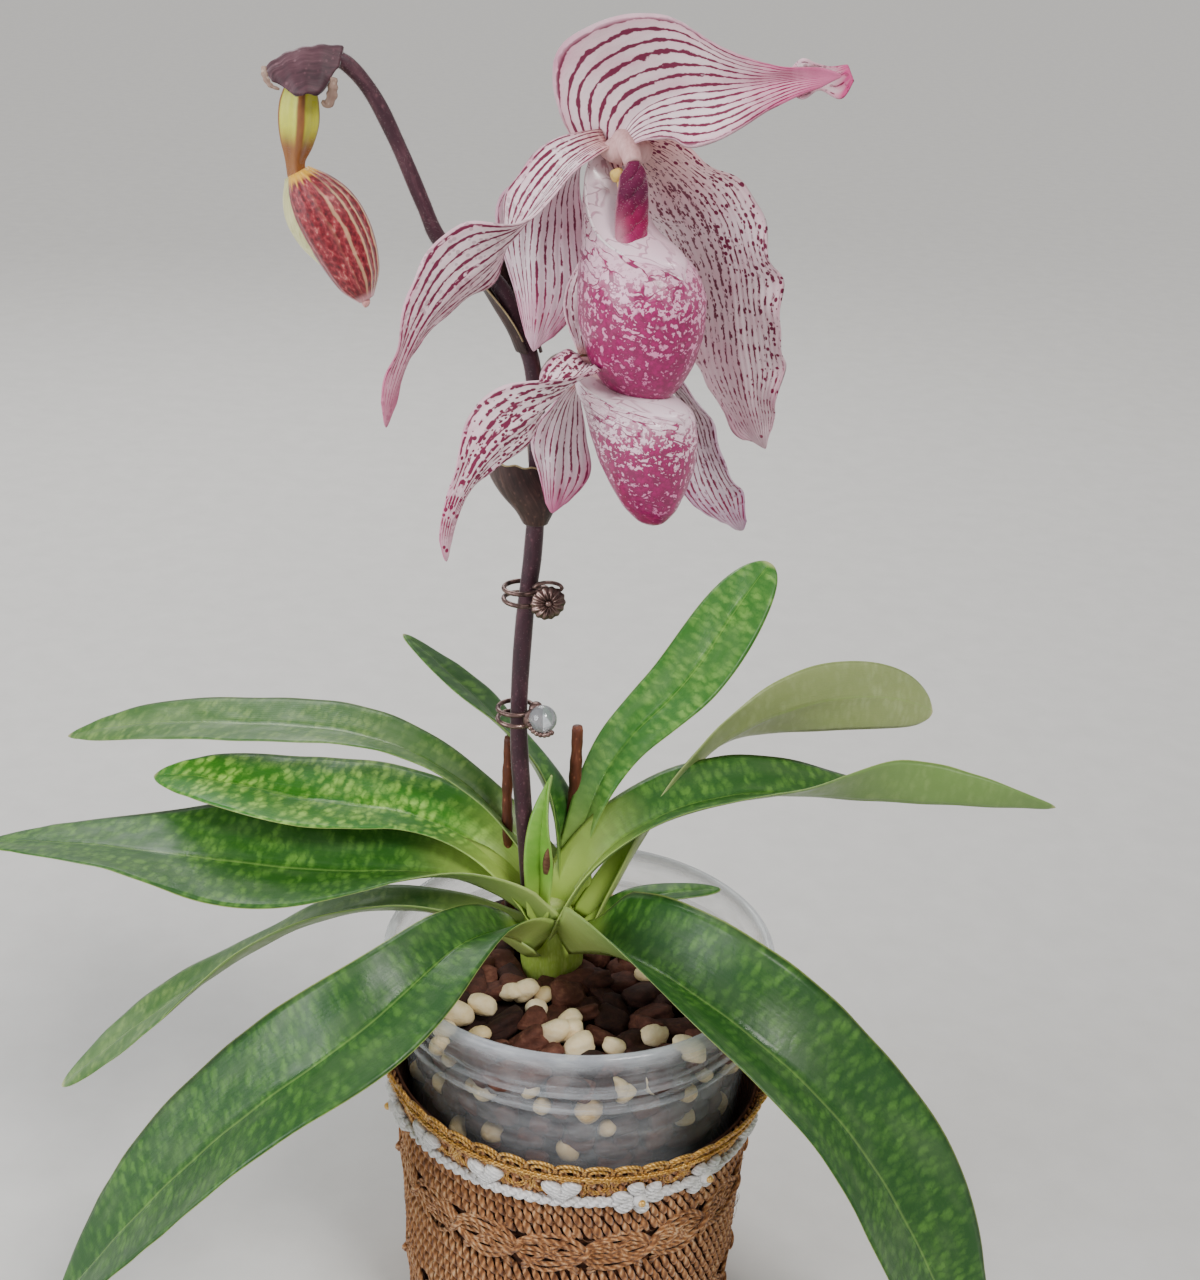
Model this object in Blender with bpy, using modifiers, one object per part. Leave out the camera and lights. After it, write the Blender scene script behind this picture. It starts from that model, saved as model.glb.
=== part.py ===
"""A slipper orchid growing in a clear pot, which stands in a knitted cover with two lace bands.

Lengths are in millimetres and angles in degrees until a mesh is made. +Z is up, +X is to the
right and +Y is away from whoever looks at the flowers. The origin is under the cover's middle.
"""
import math
import random

import bmesh
import bpy
from mathutils import Matrix, Vector
from mathutils.bvhtree import BVHTree

MM = 0.001
GAP = 0.3                 # air between two pieces that touch
OVERLAP_CHECK = 0.05      # grown pieces that come this near are cut clear

# Cover, pot and medium
COVER_EDGE_Z = 92.0
COVER_WALL = 1.6
COVER_FLOOR = 2.5
POT_RIM_Z = 122.0
POT_RIM_R = 52.5
POT_WALL = 1.2
TURN_STEPS = 36
MEDIUM_TOP = 109.0
BARK_COUNT = 24
STONE_COUNT = 14

# Crown, the short stem that the leaves grow from
CROWN_AT = (-8.0, 10.0)
CROWN_R = 7.2
CROWN_TOP = 127.0
CROWN_FOOT = 95.0

# Blades
LEAF_THICK = 1.1
PETAL_THICK = 0.9
LEAF_ROWS, LEAF_COLS = 12, 4
PETAL_ROWS, PETAL_COLS = 12, 4

# Flowers
UPPER_HUB = Vector((2.0, -5.0, 332.0))
LOWER_HUB = Vector((-4.0, -3.0, 280.0))
HUB_R = 3.4
POUCH_WALL = 0.9
POUCH_SIDES = 16

# Each leaf: where its midrib starts, its length, then five even stations of heading, climb and
# roll, the greatest half width, the neck as a share of it, and how far out it is widest.
LEAVES = {
    "leaf_centre": ((-11.5, 6.2, 119), 48, (90, 90, 90, 60, 20), (93, 89, 86, 80, 76),
                    (0, -3, -7, -4, 2), 5.2, 0.7, 0.45),
    "leaf_right_upright": ((-5, 16, 122), 117, (47, 48, 35, 46, 45), (80, 63, 33, 43, 35),
                           (3, 13, 17, 21, 22), 10.5, 0.2, 0.66),
    "leaf_back_left": ((-3, 17, 121), 97, (117, 150, 154, 144, 144), (72, 76, 43, 25, 21),
                       (-3, 6, 28, 17, 10), 10.0, 0.65, 0.45),
    "leaf_right_long": ((-6, 9, 120), 157, (24, 12, 12, 6, 9), (75, 29, -5, -4, -4),
                        (5, 7, -9, -51, -42), 15.0, 0.6, 0.5),
    "leaf_right_back": ((3, 13, 119), 142, (35, 36, 29, 31, 34), (57, 51, 17, -8, -32),
                        (1, -32, -66, -97, -121), 10.5, 0.45, 0.66),
    "leaf_far_left": ((-9, 16, 125), 170, (145, 159, 166, 162, 163), (61, 26, -3, -11, -23),
                      (-1, -3, -6, -11, -21), 12.0, 0.2, 0.58),
    "leaf_left_upper": ((-12, 12, 122), 122, (154, 162, 179, 164, 164), (57, 21, 4, 3, -12),
                        (-23, -1, -7, 6, -19), 19.5, 0.5, 0.58),
    "leaf_left_long": ((-11, 7, 121), 158, (174, 184, 176, 176, 174), (52, 2, 2, 2, -9),
                       (23, 0, -14, 8, 8), 22.0, 0.53, 0.58),
    "leaf_front_left": ((-12, 3, 116), 186, (225, 234, 188, 187, 193), (55, -12, -39, -49, -54),
                        (27, -20, -17, -15, -5), 20.5, 0.36, 0.58),
    "leaf_front_right": ((-3, 3, 116), 182, (-51, -40, -14, -23, -25), (37, -7, -44, -59, -61),
                         (-20, 8, 14, 17, 9), 22.5, 0.8, 0.58),
    "leaf_left_low": ((-14, 5, 113), 155, (174, 179, 179, 184, 187), (42, -2, -34, -39, -43),
                      (0, 10, 18, 0, -9), 12.0, 0.4, 0.58),
    "leaf_small_right": ((1, 9, 118), 41, (12, 11, 7, 8, 9), (50, 33, 12, 5, 2),
                         (0, -1, -4, -2, 2), 6.5, 0.61, 0.5),
}
LEAF_FOLD = (55, 24, 12, 8, 4)
LEAF_FOOT = 5.2           # half width where a leaf leaves the crown
LEAF_FLARE = 1.0          # and how fast it may widen from there

# Each petal or sepal: start, length, five even stations of heading, climb, roll, left half
# width, right half width and fold.
PETALS = {
    "upper_dorsal_sepal": ((2, -7, 326), 62, (-45, -28, -36, -23, -25), (105, 36, 10, 13, 3),
                           (67, 103, 101, 100, 82), (10, 23, 19.5, 5, 1.2), (2, 7.5, 12, 7, 1.2),
                           (10, 25, 28, 20, 10)),
    "upper_left_petal": ((-1, -6.5, 332), 82.7, (212, 211, 192, 206, 202),
                         (-11, -53, -39, -59, -84), (-34, -9, 58, 55, 62), (3, 6, 12, 5.5, 1.5),
                         (3, 9, 9, 4, 1.2), (15, 15, 15, 10, 5)),
    "upper_right_petal": ((4.5, -5, 332), 90.4, (9, 25, 39, 46, 46), (-21, -53, -75, -71, -53),
                          (-15, -9, -1, -15, -23), (6, 19, 18, 13.5, 2), (5, 12.5, 12.5, 9.5, 1.2),
                          (5, 10, 10, 8, 5)),
    "upper_synsepal": ((-6, -3, 328), 52, (157, 135, 105, 89, 91), (-32, -55, -81, -96, -89),
                       (0, 0, 3, 6, 4), (4, 11, 9, 5, 1.2), (5, 11.5, 12.5, 12, 1.5),
                       (5, 12, 12, 10, 5)),
    "lower_dorsal_sepal": ((-3, 0, 282), 31, (75, 70, 60, 50, 40), (60, 76, 82, 86, 88),
                           (0, 0, 0, 0, 0), (3, 7, 8, 5, 1.2), (3, 7, 8, 5, 1.2),
                           (20, 20, 15, 10, 5)),
    "lower_left_petal": ((-4.5, -5.5, 280.5), 72, (285, 244, 197, 199, 198),
                         (35, -17, -38, -61, -94), (-40, 7, 79, 79, 63), (3, 5, 10, 3.5, 1.4),
                         (3, 7.5, 7, 2.5, 1.2), (15, 15, 15, 10, 5)),
    "lower_right_petal": ((-1, -2.5, 280.5), 66, (-8, 9, 30, 39, 45), (18, -37, -71, -58, -40),
                          (-10, -10, 0, -18, -24), (3, 8, 9.5, 12, 3), (3, 9, 7, 7, 2.5),
                          (5, 10, 10, 8, 5)),
    "lower_synsepal": ((-5.5, -3, 277), 37.6, (150, 128, 109, 97, 91), (-51, -66, -78, -86, -87),
                       (-1, -8, -3, 3, -1), (3, 4.5, 6, 3.5, 1.2), (3, 8, 8.5, 9, 1.2),
                       (5, 12, 12, 10, 5)),
}

# Pouch rings: drop below the hub, distance forward, half length, half width, and the half angle
# that stays open at the front.
POUCH_WAY = {"upper": -45, "lower": -42}
UPPER_POUCH = ((0, 0, 4.6, 5.4, 140), (7, 0.4, 7.2, 7.8, 122), (14, 0.8, 8.2, 8.6, 105),
               (20, 2, 9.4, 9, 85), (23.5, 4.4, 12, 10.6, 45), (26, 6.6, 14.2, 12, 0),
               (32, 8.3, 16, 13, 0), (40, 8.7, 15.6, 12.8, 0), (47, 9.2, 13.2, 11.2, 0),
               (52, 9.7, 10, 8.6, 0), (56, 10.2, 5.8, 5.2, 0))
LOWER_POUCH = ((-1, 2.5, 4.5, 5, 130), (1.4, 7.5, 7.5, 8, 100), (3.2, 12, 10.5, 10.4, 66),
               (4.8, 15.6, 12.4, 11.6, 32), (6, 17.2, 13, 12, 0), (12, 18.8, 12.8, 11.8, 0),
               (18, 20, 11.4, 10.8, 0), (23, 21, 9.2, 8.8, 0), (28, 22, 6.4, 6, 0),
               (31.5, 22.5, 3, 2.8, 0))

# Flower stem: points along its middle, with its radius
STEM = ((-13, 13, 121, 2.4), (-16.5, 13, 153, 2.4), (-18.4, 13, 180, 2.3), (-17.6, 13, 208, 2.3),
        (-15.8, 13, 228, 2.3), (-15.2, 13.5, 250, 2.2), (-16.9, 14, 274, 2.1),
        (-21, 14, 285, 2.1), (-25.6, 13, 295, 2.0), (-33, 12, 300.5, 1.9),
        (-39.4, 11, 305.5, 1.9), (-43.2, 10, 314, 1.8), (-48.7, 9, 327, 1.8),
        (-54.3, 8, 338, 1.8), (-60, 6.5, 344.6, 1.8))
# Flower stalks, each from its bract to its flower, with its radius
UPPER_STALK = ((-21.5, 17, 288, 1.7), (-19, 21, 299, 1.9), (-15, 19, 313, 2.1),
               (-8, 11, 326, 2.3), (1, -3.5, 331.6, 2.6))
LOWER_STALK = ((-15.5, 16.6, 247, 1.7), (-16.5, 20, 256, 1.9), (-15.5, 18, 267, 2.1),
               (-11, 10, 277, 2.3), (-4.6, -2, 280, 2.6))
BUD_STALK = ((-60.6, 6.4, 345.0, 1.5), (-65.2, 5.6, 343.8, 1.8), (-68.2, 5, 339.5, 2.2),
             (-69.3, 5, 333, 2.4), (-70.2, 5, 327, 2.3), (-71.3, 5, 320.4, 1.9))
OLD_STEMS = {"old_stem_right": ((-4.5, 25, 104), (-3.3, 26, 173), 1.6),
             "old_stem_left": ((-20, 20, 104), (-21.6, 22, 171), 1.4)}

# Stem clips: ring centre and seat centre
CLIPS = {"upper_clip": ((-18.2, 12, 216.8), (-12.9, 10.6, 216.8)),
         "lower_clip": ((-19.2, 12, 183.0), (-13.9, 10.6, 184.0))}
CLIP_R = 4.6
CLIP_WIRE = 0.75
SEAT_SIZE = (3.4, 3.4, 6.0)
ORNAMENT_SIZE = (8.2, 4.6, 8.2)

# Laces
LACE_LIFT = 0.3
LACE_SCALLOPS = 60
MOTIFS = "FFHHHFFHHHFFHHHF"     # flowers and hearts around the white lace
MOTIF_START = 178.0

random.seed(7)


def clean_scene():
    for item in list(bpy.data.objects):
        bpy.data.objects.remove(item, do_unlink=True)


def new_collection(name):
    group = bpy.data.collections.new(name)
    bpy.context.scene.collection.children.link(group)
    return group


def finish(name, colour, roughness=0.5, metallic=0.0):
    """A plain Principled material."""
    made = bpy.data.materials.new(name)
    made.use_nodes = True
    shader = made.node_tree.nodes["Principled BSDF"]
    shader.inputs["Base Color"].default_value = (*colour, 1.0)
    shader.inputs["Roughness"].default_value = roughness
    shader.inputs["Metallic"].default_value = metallic
    made.diffuse_color = (*colour, 1.0)
    return made


def add_mesh(name, points, faces, surface, group, smooth=True):
    """An object from points in millimetres."""
    mesh = bpy.data.meshes.new(name)
    mesh.from_pydata([Vector(p) * MM for p in points], [], faces)
    mesh.validate()
    made = bpy.data.objects.new(name, mesh)
    group.objects.link(made)
    mesh.materials.append(surface)
    if smooth:
        mesh.shade_smooth()
    return made


def bake(item):
    """Replace an object's mesh by its evaluated mesh, so that it can be cut."""
    bpy.context.view_layer.update()
    seen = item.evaluated_get(bpy.context.evaluated_depsgraph_get())
    mesh = bpy.data.meshes.new_from_object(seen)
    item.modifiers.clear()
    old = item.data
    item.data = mesh
    bpy.data.meshes.remove(old)
    mesh.name = item.name
    return item


def station(values, t):
    """A smooth value at t, from 0 to 1, through evenly spaced stations."""
    last = len(values) - 1
    at = min(max(t, 0.0), 1.0) * last
    i = min(int(at), last - 1)
    f = at - i
    a = values[i - 1] if i > 0 else 2 * values[0] - values[1]
    b, c = values[i], values[i + 1]
    d = values[i + 2] if i + 2 <= last else 2 * values[last] - values[last - 1]
    bend = 2 * a - 5 * b + 4 * c - d + f * (3 * (b - c) + d - a)
    return b + 0.5 * f * (c - a + f * bend)


def blade_axes(heads, climbs, rolls, t):
    """Along, left and upper-face directions of a blade at t."""
    head = math.radians(station(heads, t))
    climb = math.radians(station(climbs, t))
    roll = math.radians(station(rolls, t))
    along = Vector((math.cos(climb) * math.cos(head), math.cos(climb) * math.sin(head),
                    math.sin(climb)))
    left = Vector((-math.sin(head), math.cos(head), 0.0))
    up = along.cross(left)
    turned = left * math.cos(roll) + up * math.sin(roll)
    return along, turned, up * math.cos(roll) - left * math.sin(roll)


def spine(start, length, heads, climbs, rolls, spots):
    """The midrib's point and axes at each of the spots, which run from 0 to 1."""
    point, done, rows = Vector(start), 0.0, []
    step = 0.004
    for spot in spots:
        while done < spot - 1e-9:
            move = min(step, spot - done)
            along = blade_axes(heads, climbs, rolls, done + move / 2)[0]
            point = point + along * move * length
            done += move
        rows.append((point.copy(),) + blade_axes(heads, climbs, rolls, spot))
    return rows


def grid_blade(name, rows, left, right, fold, cols, thick, surface, group, ripple=0.0):
    """A thin closed blade over a midrib, split into triangles alike on both faces."""
    points, faces = [], []
    for i, (middle, along, side, up) in enumerate(rows):
        lean = math.radians(fold[i])
        for j in range(cols + 1):
            across = 2 * j / cols - 1
            half = right[i] if across < 0 else left[i]
            wave = ripple * math.sin(2.3 * i) * abs(across) ** 3 * half / 12
            lift = abs(across) ** 1.3 * half * math.sin(lean) + wave
            points.append(middle + side * across * half * math.cos(lean) + up * lift)
    wide = cols + 1
    for i in range(len(rows) - 1):
        for j in range(cols):
            a, b = i * wide + j, i * wide + j + 1
            c, d = b + wide, a + wide
            if (i + j) % 2:
                faces += [(a, b, c), (a, c, d)]
            else:
                faces += [(a, b, d), (b, c, d)]
    made = add_mesh(name, points, faces, surface, group)
    shell = made.modifiers.new("thickness", "SOLIDIFY")
    shell.thickness = thick * MM
    shell.offset = 0.0
    return bake(made)


def leaf_half(t, length, half, neck, widest):
    """A leaf's half width: narrow foot, widest past the middle, blunt tip."""
    u = min(t / widest, 1.0)
    rise = neck + (1 - neck) * (3 * u * u - 2 * u ** 3)
    v = max((t - widest) / (1 - widest), 0.0)
    fall = math.sqrt(max(1 - v ** 2.6, 0.0))
    grown = LEAF_FOOT + LEAF_FLARE * max(t * length - CROWN_R, 0.0)
    return max(min(half * rise * fall, grown), 1.1)


def make_leaf(name, surface, group):
    start, length, heads, climbs, rolls, half, neck, widest = LEAVES[name]
    spots = [(i / LEAF_ROWS) ** 1.25 for i in range(LEAF_ROWS + 1)]
    rows = spine(start, length, heads, climbs, rolls, spots)
    halves = [leaf_half(t, length, half, neck, widest) for t in spots]
    folds = [station(LEAF_FOLD, t) for t in spots]
    return grid_blade(name, rows, halves, halves, folds, LEAF_COLS, LEAF_THICK, surface, group)


def make_petal(name, surface, group):
    start, length, heads, climbs, rolls, left, right, fold = PETALS[name]
    spots = [i / PETAL_ROWS for i in range(PETAL_ROWS + 1)]
    rows = spine(start, length, heads, climbs, rolls, spots)
    lefts = [max(station(left, t), 1.0) for t in spots]
    rights = [max(station(right, t), 1.0) for t in spots]
    folds = [station(fold, t) for t in spots]
    ripple = 1.6 if name == "upper_right_petal" else 0.5
    return grid_blade(name, rows, lefts, rights, folds, PETAL_COLS, PETAL_THICK, surface, group,
                      ripple)


def make_pouch(name, hub, way, rings, surface, group):
    """A slipper: rings that are open at the front above the lip, closed below it."""
    front = Vector((math.cos(math.radians(way)), math.sin(math.radians(way)), 0.0))
    side = Vector((-front.y, front.x, 0.0))
    points, faces = [], []
    for drop, ahead, long_half, wide_half, open_half in rings:
        for j in range(POUCH_SIDES + 1):
            turn = 180.0 + (180.0 - open_half) * (2 * j / POUCH_SIDES - 1)
            a = math.radians(turn)
            points.append(hub + front * (ahead + long_half * math.cos(a))
                          + side * wide_half * math.sin(a) - Vector((0, 0, drop)))
    wide = POUCH_SIDES + 1
    for i in range(len(rings) - 1):
        for j in range(POUCH_SIDES):
            a = i * wide + j
            faces.append((a, a + wide, a + wide + 1, a + 1))
    drop, ahead, long_half = rings[-1][:3]
    points.append(hub + front * ahead - Vector((0, 0, drop + long_half * 0.35)))
    toe, last = len(points) - 1, (len(rings) - 1) * wide
    faces += [(last + j, toe, last + j + 1) for j in range(POUCH_SIDES)]
    made = add_mesh(name, points, faces, surface, group)
    work = bmesh.new()
    work.from_mesh(made.data)
    bmesh.ops.remove_doubles(work, verts=work.verts, dist=0.01 * MM)
    bmesh.ops.recalc_face_normals(work, faces=work.faces)
    bmesh.ops.triangulate(work, faces=work.faces)
    work.to_mesh(made.data)
    work.free()
    shell = made.modifiers.new("thickness", "SOLIDIFY")
    shell.thickness = POUCH_WALL * MM
    shell.offset = 0.0
    return bake(made)


def tube(name, points, surface, group, sides_level=2):
    """A closed round tube through points, each with its own radius."""
    line = bpy.data.curves.new(name, "CURVE")
    line.dimensions = "3D"
    spline = line.splines.new("POLY")
    smooth = smooth_points(points)
    spline.points.add(len(smooth) - 1)
    for spot, (x, y, z, radius) in zip(spline.points, smooth):
        spot.co = (x * MM, y * MM, z * MM, 1.0)
        spot.radius = radius
    line.bevel_depth = MM
    line.bevel_resolution = sides_level
    line.use_fill_caps = True
    guide = bpy.data.objects.new(name + "_line", line)
    group.objects.link(guide)
    bpy.context.view_layer.update()
    seen = guide.evaluated_get(bpy.context.evaluated_depsgraph_get())
    mesh = bpy.data.meshes.new_from_object(seen)
    made = bpy.data.objects.new(name, mesh)
    made.matrix_world = guide.matrix_world
    group.objects.link(made)
    bpy.data.objects.remove(guide, do_unlink=True)
    work = bmesh.new()
    work.from_mesh(mesh)
    bmesh.ops.remove_doubles(work, verts=work.verts, dist=0.01 * MM)
    bmesh.ops.recalc_face_normals(work, faces=work.faces)
    work.to_mesh(mesh)
    work.free()
    mesh.materials.clear()
    mesh.materials.append(surface)
    mesh.shade_smooth()
    return made


def smooth_points(points, per_span=2):
    """Points on a smooth curve through the given ones."""
    out = []
    last = len(points) - 1
    for i in range(last * per_span + 1):
        t = i / (last * per_span)
        out.append(tuple(station([p[k] for p in points], t) for k in range(len(points[0]))))
    return out


def turned(name, profile, surface, group, at=(0.0, 0.0), steps=TURN_STEPS):
    """A profile of (radius, height) turned about an upright axis."""
    mesh = bpy.data.meshes.new(name)
    points = [(r * MM, 0.0, z * MM) for r, z in profile]
    mesh.from_pydata(points, [(i, i + 1) for i in range(len(points) - 1)], [])
    made = bpy.data.objects.new(name, mesh)
    group.objects.link(made)
    mesh.materials.append(surface)
    made.location = (at[0] * MM, at[1] * MM, 0.0)
    screw = made.modifiers.new("turn", "SCREW")
    screw.steps = steps
    screw.render_steps = steps
    screw.use_merge_vertices = True
    screw.merge_threshold = 0.00001
    screw.use_smooth_shade = True
    bake(made)
    made.data.transform(Matrix.Translation(made.location))
    made.location = (0, 0, 0)
    return made


def grown_copy(item, by, group):
    """A copy whose surface stands out by the given millimetres, for cutting a gap."""
    mesh = item.data.copy()
    work = bmesh.new()
    work.from_mesh(mesh)
    work.normal_update()
    moves = [vert.normal * min(vert.calc_shell_factor(), 2.0) * by * MM for vert in work.verts]
    for vert, move in zip(work.verts, moves):
        vert.co += move
    work.to_mesh(mesh)
    work.free()
    copy = bpy.data.objects.new(item.name + "_room", mesh)
    copy.matrix_world = item.matrix_world
    copy.hide_render = True
    copy.display_type = "WIRE"
    group.objects.link(copy)
    return copy


def touching(one, other):
    """Whether two closed meshes cross or one holds the other."""
    trees = []
    for item in (one, other):
        work = bmesh.new()
        work.from_mesh(item.data)
        work.transform(item.matrix_world)
        trees.append((BVHTree.FromBMesh(work), work))
    crossing = bool(trees[0][0].overlap(trees[1][0]))
    for tree, work in trees:
        work.free()
    return crossing


def volume(mesh):
    """The volume of a closed mesh, or none where it is open."""
    work = bmesh.new()
    work.from_mesh(mesh)
    closed = all(len(edge.link_faces) == 2 for edge in work.edges)
    size = work.calc_volume(signed=True) if closed else 0.0
    work.free()
    return size


def cut(item, cutter, other):
    """Subtract the cutter; the second solver is for where the first one fails."""
    before = item.data.copy()
    whole = volume(before)
    for solver in ("EXACT", "MANIFOLD"):
        knife = item.modifiers.new("cut", "BOOLEAN")
        knife.operation = "DIFFERENCE"
        knife.solver = solver
        knife.object = cutter
        bake(item)
        if 0.3 * whole < volume(item.data) < 1.0001 * whole and not touching(item, other):
            break
        item.data = before.copy()
        item.data.name = item.name


def keep_largest(item):
    """Drop loose scraps that a cut leaves."""
    work = bmesh.new()
    work.from_mesh(item.data)
    bmesh.ops.remove_doubles(work, verts=work.verts, dist=0.002 * MM)
    left, groups = set(work.verts), []
    while left:
        stack, seen = [left.pop()], []
        while stack:
            vert = stack.pop()
            seen.append(vert)
            for edge in vert.link_edges:
                other = edge.other_vert(vert)
                if other in left:
                    left.remove(other)
                    stack.append(other)
        groups.append(seen)
    groups.sort(key=len, reverse=True)
    for scrap in groups[1:]:
        bmesh.ops.delete(work, geom=scrap, context="VERTS")
    work.to_mesh(item.data)
    work.free()


def give_way(item, others, cutters, gap=GAP):
    """Cut an object clear of each earlier one that it would touch."""
    for other in others:
        room = grown_copy(other, gap, cutters)
        if touching(item, room):
            cut(item, room, other)
            keep_largest(item)
        bpy.data.objects.remove(room, do_unlink=True)
    item.data.shade_smooth()


def drape(angle, height):
    """How far the cover's soft edge sags at an angle around it."""
    share = max(height - 45.0, 0.0) / (COVER_EDGE_Z - 45.0)
    return -3.4 * (1 - math.cos(math.radians(angle - 170.0))) * share ** 2


def cover_radius(height):
    """The cover's outer radius, flaring near the edge."""
    body = 44.3 + 3.6 * min(height / 78.0, 1.0)
    flare = max(height - 72.0, 0.0) / 20.0
    return body + 4.2 * flare ** 1.6


def sag(item):
    for vert in item.data.vertices:
        x, y, z = (value / MM for value in vert.co)
        vert.co.z += drape(math.degrees(math.atan2(y, x)), z) * MM


def make_cover(surface, group):
    heights = (0.8, 8, 24, 40, 56, 68, 76, 84, COVER_EDGE_Z)
    outer = [(cover_radius(z), z) for z in reversed(heights)]
    inner = [(cover_radius(z) - COVER_WALL, z) for z in heights[1:]]
    floor_r = cover_radius(0) - COVER_WALL - 1.0
    profile = [(0, COVER_FLOOR), (floor_r, COVER_FLOOR)] + inner + outer
    profile += [(cover_radius(0) - 1.2, 0.0), (0, 0.0)]
    made = turned("knitted_cover", profile, surface, group, steps=36)
    sag(made)
    return made


def make_pot(surface, group):
    rim_r, rim_z, wall = POT_RIM_R, POT_RIM_Z, POT_WALL
    foot_z = COVER_FLOOR + GAP
    outer = [(rim_r - 1.4, rim_z), (rim_r, rim_z - 1.0), (rim_r, rim_z - 5.2),
             (rim_r - 2.0, rim_z - 6.2), (rim_r - 2.2, 112), (rim_r - 1.2, 111),
             (rim_r - 1.2, 109), (rim_r - 3.6, 108), (rim_r - 3.8, 105.6), (rim_r - 2.8, 104.8),
             (rim_r - 2.8, 103), (rim_r - 5.0, 101.8), (46.6, 90), (43.0, 49), (40.0, 8),
             (38.6, foot_z)]
    inner = [(38.0, foot_z + wall), (39.0, 9), (41.8, 49), (45.4, 90), (rim_r - 6.2, 102),
             (rim_r - 5.0, 106), (rim_r - 3.4, 112), (rim_r - 3.2, 117), (rim_r - 2.6, rim_z)]
    profile = [(0, foot_z + wall)] + inner + outer + [(0, foot_z)]
    return turned("clear_pot", profile, surface, group, steps=32)


def pot_inside(height):
    """The pot's inner radius, for what fills it."""
    low, high = (9.0, 39.0), (90.0, 45.4)
    share = (height - low[0]) / (high[0] - low[0])
    return low[1] + (high[1] - low[1]) * min(share, 1.08)


def lump(name, centre, size, surface, group, sides):
    """A rough closed lump: a chip of bark when sides is 4, a pebble when it is more."""
    work = bmesh.new()
    if sides == 4:
        bmesh.ops.create_cube(work, size=1.0)
    else:
        bmesh.ops.create_uvsphere(work, u_segments=sides, v_segments=4, radius=0.5)
    turn = Matrix.Rotation(random.uniform(0, math.tau), 4, "Z")
    tilt = Matrix.Rotation(random.uniform(-0.5, 0.5), 4, "X")
    for vert in work.verts:
        rough = [1 + random.uniform(-0.14, 0.14) for _ in range(3)]
        vert.co = Vector([c * s * r for c, s, r in zip(vert.co, size, rough)])
    bmesh.ops.triangulate(work, faces=work.faces)
    work.transform(Matrix.Translation(centre) @ turn @ tilt)
    points = [vert.co.copy() for vert in work.verts]
    faces = [tuple(vert.index for vert in face.verts) for face in work.faces]
    work.free()
    return add_mesh(name, points, faces, surface, group, smooth=False)


def scatter(count, reach, apart, taken):
    """Seeded places on the medium, clear of the crown and of each other."""
    places = []
    for _ in range(4000):
        if len(places) == count:
            break
        angle, far = random.uniform(0, math.tau), reach * math.sqrt(random.random())
        spot = (far * math.cos(angle), far * math.sin(angle))
        if math.dist(spot, CROWN_AT) < CROWN_R + 5:
            continue
        if all(math.dist(spot, other) > apart for other in taken + places):
            places.append(spot)
    return places


def join_all(core, pieces, folder_name):
    """Join pieces to a core by one Boolean on a collection."""
    folder = new_collection(folder_name)
    for piece in pieces:
        for home in list(piece.users_collection):
            home.objects.unlink(piece)
        folder.objects.link(piece)
    union = core.modifiers.new("join", "BOOLEAN")
    union.operation = "UNION"
    union.operand_type = "COLLECTION"
    union.collection = folder
    union.solver = "EXACT"
    bake(core)
    for piece in pieces:
        bpy.data.objects.remove(piece, do_unlink=True)
    bpy.data.collections.remove(folder)
    keep_largest(core)
    return core


def make_medium(surface, group):
    """The pot's filling: a core with bark chips and pale stones standing out of its top."""
    foot = COVER_FLOOR + GAP + POT_WALL + GAP
    low = 9.5
    core = turned("growing_medium",
                  [(0, MEDIUM_TOP - 3)] + [(pot_inside(102) - 2.6, MEDIUM_TOP - 3.4)]
                  + [(pot_inside(z) - GAP - 0.25, z) for z in (101, 90, 49, low)]
                  + [(37.2, foot), (0, foot)], surface, group, steps=28)
    bark_places = scatter(BARK_COUNT, 36, 8.5, [])
    stone_places = scatter(STONE_COUNT, 37, 6.0, bark_places)
    pieces = []
    for number, (x, y) in enumerate(bark_places):
        size = (random.uniform(11, 15), random.uniform(8, 11), random.uniform(5, 7))
        pieces.append(lump(f"chip_{number}", Vector((x, y, MEDIUM_TOP - 2.5)), size, surface,
                           group, 4))
    for number, (x, y) in enumerate(stone_places):
        size = [random.uniform(8, 10.5) for _ in range(3)]
        pieces.append(lump(f"stone_{number}", Vector((x, y, MEDIUM_TOP - 1.0)), size, surface,
                           group, 7))
    return join_all(core, pieces, "chips")


def make_crown(surface, group):
    """The short stem in its plain hole, up to the dome that the leaves leave."""
    profile = [(0, CROWN_TOP), (3.2, CROWN_TOP - 0.8), (5.4, CROWN_TOP - 3),
               (CROWN_R - 0.4, CROWN_TOP - 8), (CROWN_R, CROWN_TOP - 14), (CROWN_R - 0.6, 108),
               (5.4, 101), (3.6, CROWN_FOOT), (0, CROWN_FOOT)]
    return turned("crown", profile, surface, group, at=CROWN_AT, steps=16)


def wrap(along, height, lift):
    """A point on the cover's outside, from a distance around it and a height."""
    angle = math.radians(along / 50.0 * 180.0 / math.pi)
    radius = cover_radius(height) + lift
    sunk = height + drape(math.degrees(angle), height)
    return Vector((radius * math.cos(angle), radius * math.sin(angle), sunk))


def band(name, columns, low, high, inside, outside, surface, group):
    """A closed ring band around the cover with free top and bottom edges."""
    points, faces = [], []
    for i in range(columns):
        place = i / columns * math.tau * 50.0
        z0, z1 = low(i / columns), high(i / columns)
        points += [wrap(place, z0, inside), wrap(place, z0, outside),
                   wrap(place, z1, outside), wrap(place, z1, inside)]
    for i in range(columns):
        a, b = 4 * i, 4 * ((i + 1) % columns)
        for k in range(4):
            m = (k + 1) % 4
            faces.append((a + k, b + k, b + m, a + m))
    return add_mesh(name, points, faces, surface, group)


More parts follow.
